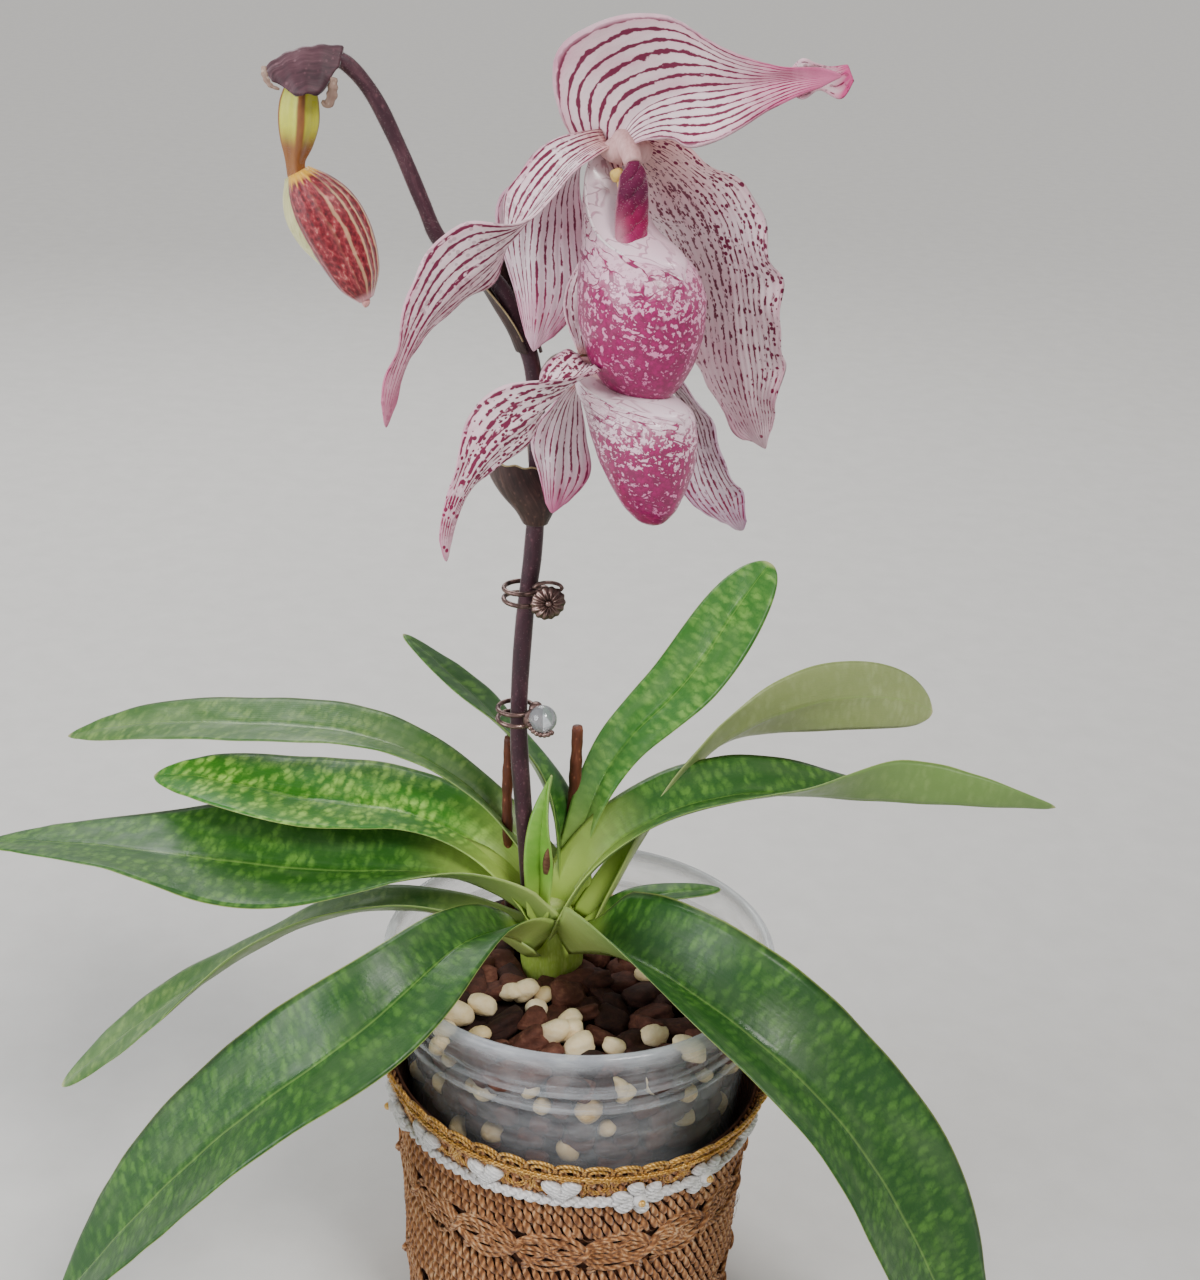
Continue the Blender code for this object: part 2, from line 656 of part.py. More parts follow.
def make_gold_lace(surface, group):
    """A band whose two edges are rows of small round scallops."""
    def bump(share):
        return abs(math.sin(math.pi * LACE_SCALLOPS * share))
    return band("gold_lace", LACE_SCALLOPS * 2,
                lambda share: 84.6 - 1.9 * bump(share), lambda share: 90.0 + 2.0 * bump(share),
                LACE_LIFT, LACE_LIFT + 0.9, surface, group)


def motif_outline(kind):
    """Half widths of a lace motif around its middle, as (angle, radius) pairs."""
    if kind == "F":
        steps = 15
        return [(360 * k / steps, (5.0, 9.2, 9.2)[k % 3]) for k in range(steps)]
    heart = ((90, 2.0), (65, 4.2), (35, 4.6), (0, 3.7), (-40, 3.6), (-90, 5.2), (-140, 3.6),
             (180, 3.7), (145, 4.6), (115, 4.2))
    return list(reversed(heart))


def make_motif(name, kind, place, surface, group):
    """A flower or a heart cut from thick lace, wrapped on the cover."""
    middle_z, inside, outside = (79.5, 1.7, 3.0) if kind == "F" else (83.2, 1.7, 2.8)
    points, faces = [], []
    rim = motif_outline(kind)
    for lift in (inside, outside):
        points.append(wrap(place, middle_z, lift + (0.5 if lift == outside else 0.0)))
        for turn, radius in rim:
            a = math.radians(turn)
            points.append(wrap(place + radius * math.cos(a), middle_z + radius * math.sin(a),
                               lift))
    count = len(rim)
    for k in range(count):
        m = (k + 1) % count
        i0, i1, o0, o1 = 1 + k, 1 + m, count + 2 + k, count + 2 + m
        faces += [(0, i1, i0), (count + 1, o0, o1), (i0, i1, o1), (i0, o1, o0)]
    made = add_mesh(name, points, faces, surface, group)
    work = bmesh.new()
    work.from_mesh(made.data)
    bmesh.ops.recalc_face_normals(work, faces=work.faces)
    work.to_mesh(made.data)
    work.free()
    return made


def make_white_lace(surface, group):
    """A braid around the cover with flowers and hearts joined to it."""
    cord = band("white_lace", 48, lambda share: 77.2, lambda share: 80.2, LACE_LIFT,
                LACE_LIFT + 2.1, surface, group)
    pieces = []
    for number, kind in enumerate(MOTIFS):
        angle = MOTIF_START + 360.0 / len(MOTIFS) * number
        place = math.radians(angle) * 50.0
        pieces.append(make_motif(f"motif_{number}", kind, place, surface, group))
    return join_all(cord, pieces, "motifs")


def make_sheath(name, centres, radii, opening, faces_way, surface, group, thick=0.8):
    """A bract that wraps a stem: a C in section, open towards faces_way."""
    points, faces = [], []
    sides = 10
    for i, ((x, y, z), radius) in enumerate(zip(centres, radii)):
        for j in range(sides + 1):
            span = 360.0 - opening[i]
            a = math.radians(faces_way + 180.0 - span / 2 + span * j / sides)
            points.append((x + radius * math.cos(a), y + radius * math.sin(a), z))
    wide = sides + 1
    for i in range(len(centres) - 1):
        for j in range(sides):
            a, b = i * wide + j, i * wide + j + 1
            faces += [(a, b, b + wide), (a, b + wide, a + wide)]
    made = add_mesh(name, points, faces, surface, group)
    shell = made.modifiers.new("thickness", "SOLIDIFY")
    shell.thickness = thick * MM
    shell.offset = 0.0
    return bake(made)


def ball(name, centre, size, surface, group, sides=14, rings=9):
    """A round body squashed to a size, for a shield, a bead or a bud."""
    work = bmesh.new()
    bmesh.ops.create_uvsphere(work, u_segments=sides, v_segments=rings, radius=0.5)
    for vert in work.verts:
        vert.co = Vector([c * s for c, s in zip(vert.co, size)])
    bmesh.ops.triangulate(work, faces=work.faces)
    work.transform(Matrix.Translation(centre))
    points = [vert.co.copy() for vert in work.verts]
    faces = [tuple(vert.index for vert in face.verts) for face in work.faces]
    work.free()
    return add_mesh(name, points, faces, surface, group)


def make_column(name, hub, way, drop, shield, surface, group):
    """The column: a stub from the hub to a hanging shield."""
    front = Vector((math.cos(math.radians(way)), math.sin(math.radians(way)), 0.0))
    middle = hub + front * 9.0 - Vector((0, 0, drop))
    body = ball(name, Vector((0, 0, 0)), shield, surface, group)
    body.data.transform(Matrix.Rotation(math.radians(way), 4, "Z"))
    body.data.transform(Matrix.Translation(middle * MM))
    foot = hub + front * 3.0
    neck = hub + front * 8.0 - Vector((0, 0, 2.5))
    tip = middle + Vector((0, 0, shield[2] * 0.25))
    stub = tube(name + "_stub", [(*foot, 2.4), (*neck, 2.0), (*tip, 1.2)], surface, group)
    return join_all(body, [stub], name + "_parts")


def make_bud(surface, group):
    """A closed bud hanging under its stalk, with shallow ribs along it."""
    top, tip = Vector((-71.2, 5.0, 319.9)), Vector((-56.2, 5.0, 291.6))
    halves = (1.6, 4.6, 6.6, 7.3, 7.0, 6.0, 4.4, 2.6, 1.2)
    sides = 15
    along = (tip - top).normalized()
    side = Vector((0, 1, 0))
    across = along.cross(side)
    points, faces = [], []
    for i, half in enumerate(halves):
        middle = top.lerp(tip, i / (len(halves) - 1))
        bow = across * 1.6 * math.sin(math.pi * i / (len(halves) - 1))
        for j in range(sides):
            a = math.tau * j / sides
            radius = half * (1 + 0.05 * math.cos(5 * a))
            points.append(middle + bow + side * radius * math.cos(a)
                          + across * radius * math.sin(a))
    for i in range(len(halves) - 1):
        for j in range(sides):
            a, b = i * sides + j, i * sides + (j + 1) % sides
            faces.append((a, b, b + sides, a + sides))
    faces += [tuple(range(sides)), tuple(reversed(range(len(points) - sides, len(points))))]
    made = add_mesh("bud", points, faces, surface, group)
    work = bmesh.new()
    work.from_mesh(made.data)
    bmesh.ops.recalc_face_normals(work, faces=work.faces)
    bmesh.ops.triangulate(work, faces=work.faces)
    work.to_mesh(made.data)
    work.free()
    return made


def make_hood(surface, group):
    """The bract folded over the bud's stalk like a small roof."""
    spots = [i / 6 for i in range(7)]
    rows = spine((-60.6, 6.4, 347.6), 19, (184, 182, 180, 180, 180), (12, -4, -16, -30, -48),
                 (0, 0, 0, 0, 0), spots)
    halves = [station((4.2, 8.5, 10.0, 8.0, 2.0), t) for t in spots]
    folds = [-station((62, 55, 52, 50, 40), t) for t in spots]
    return grid_blade("bud_bract", rows, halves, halves, folds, 6, 0.8, surface, group)


def ring(name, centre, radius, wire, surface, group):
    """A round wire ring lying level."""
    bpy.ops.mesh.primitive_torus_add(major_radius=radius * MM, minor_radius=wire * MM,
                                     major_segments=14, minor_segments=5,
                                     location=Vector(centre) * MM)
    made = bpy.context.object
    made.name = name
    for home in list(made.users_collection):
        home.objects.unlink(made)
    group.objects.link(made)
    made.data.transform(Matrix.Translation(made.location))
    made.location = (0, 0, 0)
    made.data.materials.append(surface)
    return made


def make_clip(name, surface, gem, group):
    """Two wire rings around the stem with a seat, and an ornament that faces forward."""
    centre, seat = CLIPS[name]
    rings = [ring(f"{name}_{k}", (centre[0], centre[1], centre[2] + k * 3.0 - 1.5), CLIP_R,
                  CLIP_WIRE, surface, group) for k in range(2)]
    post = ball(name + "_rings", Vector(seat), SEAT_SIZE, surface, group, 8, 6)
    join_all(post, rings, name + "_parts")
    apart = (SEAT_SIZE[1] + ORNAMENT_SIZE[1]) / 2 + GAP
    front = Vector(seat) + Vector((1.4, -apart + 0.2, 0))
    flower = ball(name + "_ornament", front, ORNAMENT_SIZE, gem, group, 12, 8)
    return post, flower


def main():
    clean_scene()
    group = new_collection("slipper_orchid")
    cutters = new_collection("cutters")
    green = finish("leaf_green", (0.07, 0.22, 0.04), 0.45)
    pale_green = finish("crown_green", (0.32, 0.45, 0.10), 0.5)
    stalk = finish("stem_purple", (0.10, 0.045, 0.05), 0.6)
    straw = finish("old_stem_brown", (0.22, 0.10, 0.06), 0.7)
    bract = finish("bract_brown", (0.10, 0.06, 0.05), 0.5)
    petal = finish("petal_white", (0.80, 0.66, 0.70), 0.5)
    pouch = finish("pouch_pink", (0.72, 0.25, 0.42), 0.3)
    shield = finish("column_magenta", (0.40, 0.02, 0.14), 0.6)
    red = finish("bud_red", (0.42, 0.08, 0.08), 0.45)
    lime = finish("ovary_green", (0.55, 0.60, 0.14), 0.5)
    clear = finish("pot_clear", (0.80, 0.82, 0.85), 0.15)
    bark = finish("bark_brown", (0.16, 0.07, 0.05), 0.8)
    yarn = finish("cover_yarn", (0.52, 0.30, 0.18), 0.85)
    gold = finish("lace_gold", (0.70, 0.48, 0.16), 0.45)
    white = finish("lace_white", (0.85, 0.86, 0.88), 0.8)
    metal = finish("clip_metal", (0.16, 0.11, 0.11), 0.35, 1.0)
    gem = finish("clip_gem", (0.62, 0.66, 0.72), 0.1)

    done = [tube("flower_stem", STEM, stalk, group)]

    def place(item):
        give_way(item, done, cutters)
        done.append(item)
        return item

    crown = place(make_crown(pale_green, group))
    olds = []
    for name, (low, high, radius) in OLD_STEMS.items():
        olds.append(place(tube(name, [(*low, radius), (*high, radius * 0.9)], straw, group, 1)))
    for which, points in (("upper", UPPER_STALK), ("lower", LOWER_STALK)):
        knob = ball(f"{which}_ovary", Vector(points[-1][:3]), (2 * HUB_R,) * 3, pale_green, group,
                    10, 7)
        line = tube(f"{which}_line", points, pale_green, group)
        place(join_all(knob, [line], f"{which}_stalk_parts"))
    place(tube("bud_ovary", BUD_STALK, lime, group))
    place(make_bud(red, group))
    place(make_pouch("upper_pouch", UPPER_HUB, POUCH_WAY["upper"], UPPER_POUCH, pouch, group))
    place(make_pouch("lower_pouch", LOWER_HUB, POUCH_WAY["lower"], LOWER_POUCH, pouch, group))
    place(make_column("upper_column", UPPER_HUB, -60, 13.0, (2.6, 8.2, 18.5), shield, group))
    place(make_column("lower_column", LOWER_HUB, -42, 4.2, (2.4, 6.0, 8.0), shield, group))
    for name in PETALS:
        place(make_petal(name, petal, group))
    place(make_hood(bract, group))
    place(make_sheath("upper_bract",
                      ((-18.0, 14.2, 279), (-20.0, 14.4, 284), (-22.6, 14.8, 289.5),
                       (-25.2, 15.0, 295), (-27.0, 15.0, 299)),
                      (3.3, 3.6, 4.4, 5.2, 5.6), (60, 70, 90, 130, 170), -60, bract, group))
    place(make_sheath("lower_bract",
                      ((-15.4, 13.4, 235.5), (-15.8, 13.8, 239), (-17.4, 14.4, 243),
                       (-19.2, 14.8, 247), (-20.4, 15.0, 250.5)),
                      (3.2, 5.0, 7.0, 7.8, 7.6), (40, 60, 90, 120, 150), 60, bract, group))
    for name in CLIPS:
        for piece in make_clip(name, metal, gem, group):
            place(piece)
    for name in LEAVES:
        place(make_leaf(name, green, group))
    make_cover(yarn, group)
    make_pot(clear, group)
    make_gold_lace(gold, group)
    make_white_lace(white, group)
    medium = make_medium(bark, group)
    give_way(medium, [crown] + olds, cutters)
    bpy.data.collections.remove(cutters)


main()
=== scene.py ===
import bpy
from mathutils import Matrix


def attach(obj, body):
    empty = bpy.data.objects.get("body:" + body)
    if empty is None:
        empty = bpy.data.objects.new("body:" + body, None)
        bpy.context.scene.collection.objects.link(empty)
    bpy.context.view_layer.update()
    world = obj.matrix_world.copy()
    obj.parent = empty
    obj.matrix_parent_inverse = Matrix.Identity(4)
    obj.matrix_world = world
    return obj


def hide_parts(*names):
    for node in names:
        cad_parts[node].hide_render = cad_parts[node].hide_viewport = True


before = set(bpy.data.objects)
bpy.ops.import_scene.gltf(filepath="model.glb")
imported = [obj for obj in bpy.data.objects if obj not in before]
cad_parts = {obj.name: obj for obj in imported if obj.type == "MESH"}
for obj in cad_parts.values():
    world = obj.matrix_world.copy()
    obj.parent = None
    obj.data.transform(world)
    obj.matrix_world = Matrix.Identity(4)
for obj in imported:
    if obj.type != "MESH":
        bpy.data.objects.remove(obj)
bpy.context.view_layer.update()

import math

import bmesh
import bpy
import numpy as np
from mathutils import Euler, Matrix, Vector

# Lengths are in millimetres until a mesh is made. The angles in tables are in degrees.
MM = 0.001
TURN = 2 * math.pi
dice = np.random.default_rng(11)

# Places and sizes that several pieces share
CROWN_AT = (-8.0, 10.0)
UPPER_HUB = (2.0, -5.0, 332.0)
LOWER_HUB = (-4.0, -3.0, 280.0)
BLADE_BOW = 1.3           # how roundly a folded blade rises from its midrib
LEAF_THICK = 1.0
PETAL_THICK = 0.8
POUCH_WALL = 0.8
MAP_MM = 100              # the metric map counts in units of this many millimetres
COVER_R = 50.0            # the radius at which lengths round the cover are counted
ROUND = TURN * COVER_R

# Small tools: curves, spines and meshes


def flow(values, t):
    """Smooth values at t, from 0 to 1, through evenly spaced stations."""
    v = np.asarray(values, float)
    t = np.atleast_1d(np.asarray(t, float))
    n = len(v) - 1
    at = np.clip(t, 0, 1) * n
    i = np.minimum(at.astype(int), n - 1)
    f = at - i
    if v.ndim > 1:
        f = f[:, None]
    ext = np.concatenate([[2 * v[0] - v[1]], v, [2 * v[-1] - v[-2]]])
    a, b, c, d = ext[i], ext[i + 1], ext[i + 2], ext[i + 3]
    return b + 0.5 * f * (c - a + f * (2 * a - 5 * b + 4 * c - d + f * (3 * (b - c) + d - a)))


def unit(v):
    return v / np.maximum(np.linalg.norm(v, axis=-1, keepdims=True), 1e-9)


def run_lengths(path):
    """How far along a path each of its points lies."""
    return np.concatenate([[0], np.cumsum(np.linalg.norm(np.diff(path, axis=0), axis=1))])


def pairs(u, v):
    """A map: one (u, v) for each point of a grid."""
    return np.stack(np.broadcast_arrays(u, v), -1).reshape(-1, 2)


def blend_neighbours(line, passes):
    """Rounds a line's corners off. Its ends stay."""
    for _ in range(passes):
        line[1:-1] = (line[:-2] + 2 * line[1:-1] + line[2:]) / 4
    return line


def tube_path(points, count):
    """Points and radii along a smooth line through (x, y, z, radius) stations."""
    path = flow(np.array(points, float), np.linspace(0, 1, count))
    return path[:, :3], path[:, 3]


def spine(start, length, heads, climbs, rolls, t):
    """Points, left sides and upper normals along a blade's midrib."""
    steps = 400
    fine = np.linspace(0, 1, steps + 1)

    def along(at):
        head, climb = np.radians(flow(heads, at)), np.radians(flow(climbs, at))
        return np.stack([np.cos(climb) * np.cos(head), np.cos(climb) * np.sin(head),
                         np.sin(climb)], -1), head
    middle = along((fine[1:] + fine[:-1]) / 2)[0]
    path = np.concatenate([[start], np.asarray(start) + np.cumsum(middle, 0) * length / steps])
    centre = np.stack([np.interp(t, fine, path[:, k]) for k in range(3)], -1)
    way, head = along(t)
    left = np.stack([-np.sin(head), np.cos(head), np.zeros_like(head)], -1)
    up = np.cross(way, left)
    roll = np.radians(flow(rolls, t))[:, None]
    return centre, left * np.cos(roll) + up * np.sin(roll), up * np.cos(roll) - left * np.sin(roll)


def piece(name, points, faces, looks, slot, node=None, share=None, metric=None, parts=None):
    """A mesh object from points, with two maps, that takes a CAD node's place if one is named."""
    mesh = bpy.data.meshes.new(name)
    faces = [tuple(int(k) for k in face) for face in faces]
    mesh.from_pydata((np.asarray(points, float) * MM).tolist(), [], faces)
    corners = np.array([k for face in faces for k in face])
    for label, data in (("share", share), ("metric", metric)):
        layer = mesh.uv_layers.new(name=label)
        layer.data.foreach_set("uv", np.asarray(data, float)[corners].ravel())
    for look in looks if isinstance(looks, list) else [looks]:
        mesh.materials.append(look)
    if parts is not None:
        mesh.polygons.foreach_set("material_index", np.asarray(parts, int))
    work = bmesh.new()
    work.from_mesh(mesh)
    bmesh.ops.recalc_face_normals(work, faces=work.faces)
    work.to_mesh(mesh)
    work.free()
    mesh.shade_smooth()
    mesh.update()
    made = bpy.data.objects.new(name, mesh)
    bpy.context.scene.collection.objects.link(made)
    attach(made, "root")
    if node:
        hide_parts(node)
    return made


def grid_faces(rows, cols, wrap=False):
    """Quads of a grid of rows by cols points."""
    out = []
    for i in range(rows - 1):
        for j in range(cols if wrap else cols - 1):
            a, b = i * cols + j, i * cols + (j + 1) % cols
            out.append((a, b, b + cols, a + cols))
    return out


def capped_faces(rows, cols):
    """Quads of a grid that closes on itself, with a face over each end."""
    return grid_faces(rows, cols, True) + [tuple(range(cols)),
                                           tuple(range((rows - 1) * cols, rows * cols))]


def two_skins(front, back, faces):
    """The points and faces of two skins that lie back to back."""
    count = front.size // 3
    twins = [tuple(k + count for k in reversed(face)) for face in faces]
    return np.concatenate([front.reshape(-1, 3), back.reshape(-1, 3)]), faces + twins


def rings(path, radius, side, face, angles, flat=1.0):
    """Points round a path: a ring at each of its points."""
    return path[:, None] + radius[..., None] * (np.cos(angles)[None, :, None] * side[:, None]
                                                + flat * np.sin(angles)[None, :, None]
                                                * face[:, None])


class Pile:
    """Collects many small closed shapes into one piece."""

    def __init__(self):
        self.points, self.faces, self.share, self.metric, self.count = [], [], [], [], 0

    def add(self, points, faces, share=None, metric=None):
        points = np.asarray(points, float).reshape(-1, 3)
        blank = np.zeros((len(points), 2))
        self.points.append(points)
        self.faces += [tuple(k + self.count for k in face) for face in faces]
        self.share.append(blank if share is None else share)
        self.metric.append(blank if metric is None else metric)
        self.count += len(points)

    def tube(self, path, radius, sides=6, out=None, seed=0.0, flat=1.0):
        """A tube through points, with a face over each end."""
        path = np.asarray(path, float)
        n = len(path)
        way = unit(np.gradient(path, axis=0))
        if out is None:
            out = (0.0, 0.0, 1.0) if abs(way[0][2]) < 0.9 else (0.0, 1.0, 0.0)
        side = unit(np.cross(way, np.broadcast_to(out, path.shape)))
        a = np.linspace(0, TURN, sides, endpoint=False)
        radius = np.broadcast_to(np.asarray(radius, float), (n,))
        u, steps = (a / TURN)[None], run_lengths(path)[:, None]
        faces = [tuple(reversed(face)) for face in grid_faces(n, sides, True)]
        faces += [tuple(range(sides)), tuple(reversed(range((n - 1) * sides, n * sides)))]
        self.add(rings(path, radius[:, None], side, np.cross(side, way), a, flat), faces,
                 pairs(u, np.full((n, 1), seed)),
                 pairs(u * 0.05 + seed, steps / MAP_MM))

    def make(self, name, looks, slot, node=None):
        return piece(name, np.concatenate(self.points), self.faces, looks, slot, node,
                     np.concatenate(self.share), np.concatenate(self.metric))


# Procedural looks


def tint(code):
    """Linear colour from a hex code."""
    srgb = [int(code[i:i + 2], 16) / 255 for i in (0, 2, 4)]
    return (*(c / 12.92 if c <= 0.04045 else ((c + 0.055) / 1.055) ** 2.4 for c in srgb), 1)


class Value:
    """A number, vector or colour in a shader. Plain arithmetic on it makes Math nodes."""

    def __init__(self, look, socket):
        self.look, self.socket = look, socket

    def __add__(self, other):
        return self.look.calc("ADD", self, other)

    def __sub__(self, other):
        return self.look.calc("SUBTRACT", self, other)

    def __rsub__(self, other):
        return self.look.calc("SUBTRACT", other, self)

    def __mul__(self, other):
        return self.look.calc("MULTIPLY", self, other)

    def __abs__(self):
        return self.look.calc("ABSOLUTE", self)

    __radd__, __rmul__ = __add__, __mul__

    def level(self, low, high, to_low=0.0, to_high=1.0):
        """The value moved from one span to another, and held inside it."""
        return self.look.node("ShaderNodeMapRange", {
            "Value": self, "From Min": low, "From Max": high, "To Min": to_low,
            "To Max": to_high}, "Result", interpolation_type="SMOOTHSTEP")

    def toward(self, colour, share):
        return self.look.mix(share, self, colour)


class Look:
    """A Principled material that is built up from a few node helpers."""

    def __init__(self, name, **sockets):
        self.made = bpy.data.materials.new(name)
        self.made.use_nodes = True
        self.tree = self.made.node_tree
        self.shader = self.tree.nodes["Principled BSDF"]
        for key, value in sockets.items():
            self.shader.inputs[key.replace("_", " ")].default_value = value

    def plug(self, socket, value):
        if isinstance(value, Value):
            self.tree.links.new(value.socket, socket)
        else:
            socket.default_value = tint(value) if isinstance(value, str) else value

    def node(self, kind, ins, output, **settings):
        made = self.tree.nodes.new(kind)
        for key, value in settings.items():
            setattr(made, key, value)
        for key, value in ins.items():
            self.plug(made.inputs[key], value)
        return Value(self, made.outputs[output])

    def map(self, label, seed=0.0, ratio=0.0):
        """The share or the metric map, moved along by a seed."""
        plain = self.node("ShaderNodeUVMap", {}, "UV", uv_map=label)
        return self.scale(plain, (1, 1, 1), (seed, seed * ratio, 0)) if seed or ratio else plain

    def place(self):
        return self.node("ShaderNodeTexCoord", {}, "Object")

    def split(self, vector):
        first = self.node("ShaderNodeSeparateXYZ", {"Vector": vector}, "X")
        return [Value(self, socket) for socket in first.socket.node.outputs]

    def scale(self, vector, sizes, shift=(0, 0, 0), turn=0.0):
        return self.node("ShaderNodeMapping", {"Vector": vector, "Scale": sizes,
                                               "Location": shift, "Rotation": (0, 0, turn)},
                         "Vector")

    def shift(self, vector, x, y):
        step = self.node("ShaderNodeCombineXYZ", {"X": x, "Y": y}, 0)
        return self.node("ShaderNodeVectorMath", {0: vector, 1: step}, 0, operation="ADD")

    def calc(self, kind, a, b=0.0, clamp=False):
        return self.node("ShaderNodeMath", {0: a, 1: b}, 0, operation=kind, use_clamp=clamp)

    def held(self, a, b):
        """A product that stays between 0 and 1."""
        return self.calc("MULTIPLY", a, b, True)

    def noise(self, vector, size, detail=2.0, rough=0.5, warp=0.0):
        if isinstance(size, tuple):
            vector, size = self.scale(vector, size), 1.0
        return self.node("ShaderNodeTexNoise", {
            "Vector": vector, "Scale": size, "Detail": detail, "Roughness": rough,
            "Distortion": warp}, "Fac")

    def cells(self, vector, size, kind="F1", turn=0.0):
        """Distance and colour of scattered cells."""
        first = self.node("ShaderNodeTexVoronoi", {
            "Vector": self.scale(vector, size, turn=turn), "Scale": 1.0, "Randomness": 1.0},
            "Distance", feature=kind)
        return first, Value(self, first.socket.node.outputs[1])

    def ramp(self, value, stops):
        """A colour from a value, through (place, colour) stops."""
        made = self.node("ShaderNodeValToRGB", {"Fac": value}, "Color")
        marks = made.socket.node.color_ramp.elements
        while len(marks) < len(stops):
            marks.new(0.5)
        for mark, (at, colour) in zip(marks, stops):
            mark.position = at
            mark.color = tint(colour) if isinstance(colour, str) else colour
        return made

    def mix(self, share, a, b):
        return self.node("ShaderNodeMix", {0: share, 6: a, 7: b}, 2, data_type="RGBA")

    def paint(self, colour):
        self.plug(self.shader.inputs["Base Color"], colour)

    def rough(self, value):
        self.plug(self.shader.inputs["Roughness"], value)

    def relief(self, height, depth_mm, strength=1.0):
        self.plug(self.shader.inputs["Normal"], self.node("ShaderNodeBump", {
            "Height": height, "Strength": strength, "Distance": depth_mm * MM}, "Normal"))


def leaf_look(name, dark, light, base, seed, blotch=0.8, foot=0.22, painted_sheen=0.25):
    """Deep green with small soft blotches, a pale margin, a yellow-green foot, painted grey sheen
    and a painted midrib highlight.
    """
    look = Look(name, Specular_IOR_Level=0.38, Coat_Weight=0.08, Coat_Roughness=0.30,
                Subsurface_Weight=0.05, Subsurface_Radius=(0.002, 0.004, 0.001))
    across, along, _ = look.split(look.map("share"))
    metric = look.map("metric", seed, 0.37)
    warp = look.noise(metric, 38, 3, 0.6)
    distance, own = look.cells(look.shift(metric, warp * 0.035, warp * 0.03), (26, 54, 1))
    spot = distance.level(0.80, 0.05)
    broad = look.noise(metric, (8, 5, 1))
    fine = look.noise(metric, (150, 110, 1), 4, 0.65)
    mottle = (spot * look.split(own)[0].level(0, 0.7, 0.35, 1) * broad.level(0.30, 0.62, 0.45, 1)
              + (fine - 0.5) * 0.45 + (broad - 0.5) * 0.5)
    # Patches of painted grey sheen: this noise greys the green towards 80966a, as far as the last
    # argument allows.
    haze = look.noise(metric, (14, 4, 1), 3).level(0.42, 0.75)
    off = abs(across - 0.5)
    colour = look.mix(look.held(mottle, blotch), dark, light).toward("80966a", haze * painted_sheen)
    # The first tone is a painted highlight: a lighter green line along the midrib. The others are
    # the pale margin, the yellow-green foot and the pale tip.
    for tone, share in (("8fb35a", off.level(0.016, 0, 0, 0.30)),
                        ("b3c76c", off.level(0.487, 0.499, 0, 0.8)),
                        (base, (along + (broad - 0.5) * 0.10).level(foot, foot * 0.25)),
                        ("c9c58a", along.level(0.985, 1, 0, 0.7))):
        colour = colour.toward(tone, share)
    look.paint(colour)
    look.rough(look.noise(metric, 18).level(0.3, 0.7, 0.34, 0.48)
               * off.level(0.06, 0.01, 1, 0.55))
    veins = look.calc("SINE", across * 180.0)
    look.relief(veins * 0.05 + (spot * 0.35 + fine * 0.5), 0.30, 0.35)
    return look.made


PETAL_VEIN = "6c0036"


def petal_look(name, veins, ground, blush, tip_blush=0.5, dots=0.0, dot_reach=0.5, broken=0.5,
               seed=0.0, width=0.2, warm=0.2):
    """Pale petal with dark lines that run along it, some of them broken into dots."""
    look = Look(name, Roughness=0.48, Specular_IOR_Level=0.22, Subsurface_Weight=0.08,
                Subsurface_Radius=(0.002, 0.001, 0.0012))
    across, along, _ = look.split(look.map("share"))
    metric = look.map("metric", seed, 0.7)
    slow = look.noise(metric, (9, 5, 1))
    jig = look.noise(metric, (80, 70, 1), 2, 0.6)
    lane = (across + (slow - 0.5) * 0.10 + (jig - 0.5) * 0.02) * float(veins)
    off = abs(look.calc("FRACT", lane) - 0.5)
    swell = look.noise(metric, (18, 26, 1), 3, 0.6).level(0.25, 0.75, 0.45, 1.5)
    gaps = look.noise(metric, (60, 40, 1), 2, 0.6)
    edge_off = abs(across - 0.5)
    open_up = edge_off * (0.30 * broken) + broken * 0.5
    line = ((swell * width - off).level(0, 0.07) * (gaps - open_up * 0.5).level(0.24, 0.34)
            * edge_off.level(0.496, 0.455))
    mark = look.held(line, along.level(0.98, 0.86))
    if dots > 0:
        distance, own = look.cells(metric, (92, 70, 1))
        size, chance, _ = look.split(own)
        dot = (size.level(0, 1, 0.20, 0.46) - distance).level(0, 0.06)
        dense = (along.level(dot_reach + 0.45, dot_reach - 0.25) + (slow - 0.45) * 1.4
                 + edge_off.level(0.36, 0.47, 0, 0.5))
        mark = look.calc("MAXIMUM", mark, dot * (dense - chance).level(0, 0.08) * dots, True)
    flush = (along.level(0.55, 1, 0, tip_blush) + edge_off.level(0.33, 0.5, 0, 0.35)
             + look.noise(metric, (11, 7, 1), 3).level(0.40, 0.85, 0, 0.45)
             + off.level(0.45, 0.1) * 0.16)
    colour = look.mix(look.held(flush, 1.0), ground, blush)
    colour = colour.toward("dca79f", along.level(warm, 0.02, 0, 0.8))
    vein_tone = look.mix(along.level(0.55, 0.95), PETAL_VEIN, "8a1648")
    look.paint(colour.toward(vein_tone, mark * 0.97))
    ribs = look.calc("SINE", lane * TURN)
    look.relief(ribs * 0.30 + look.noise(metric, (60, 40, 1), 3, 0.6), 0.30, 0.5)
    return look.made


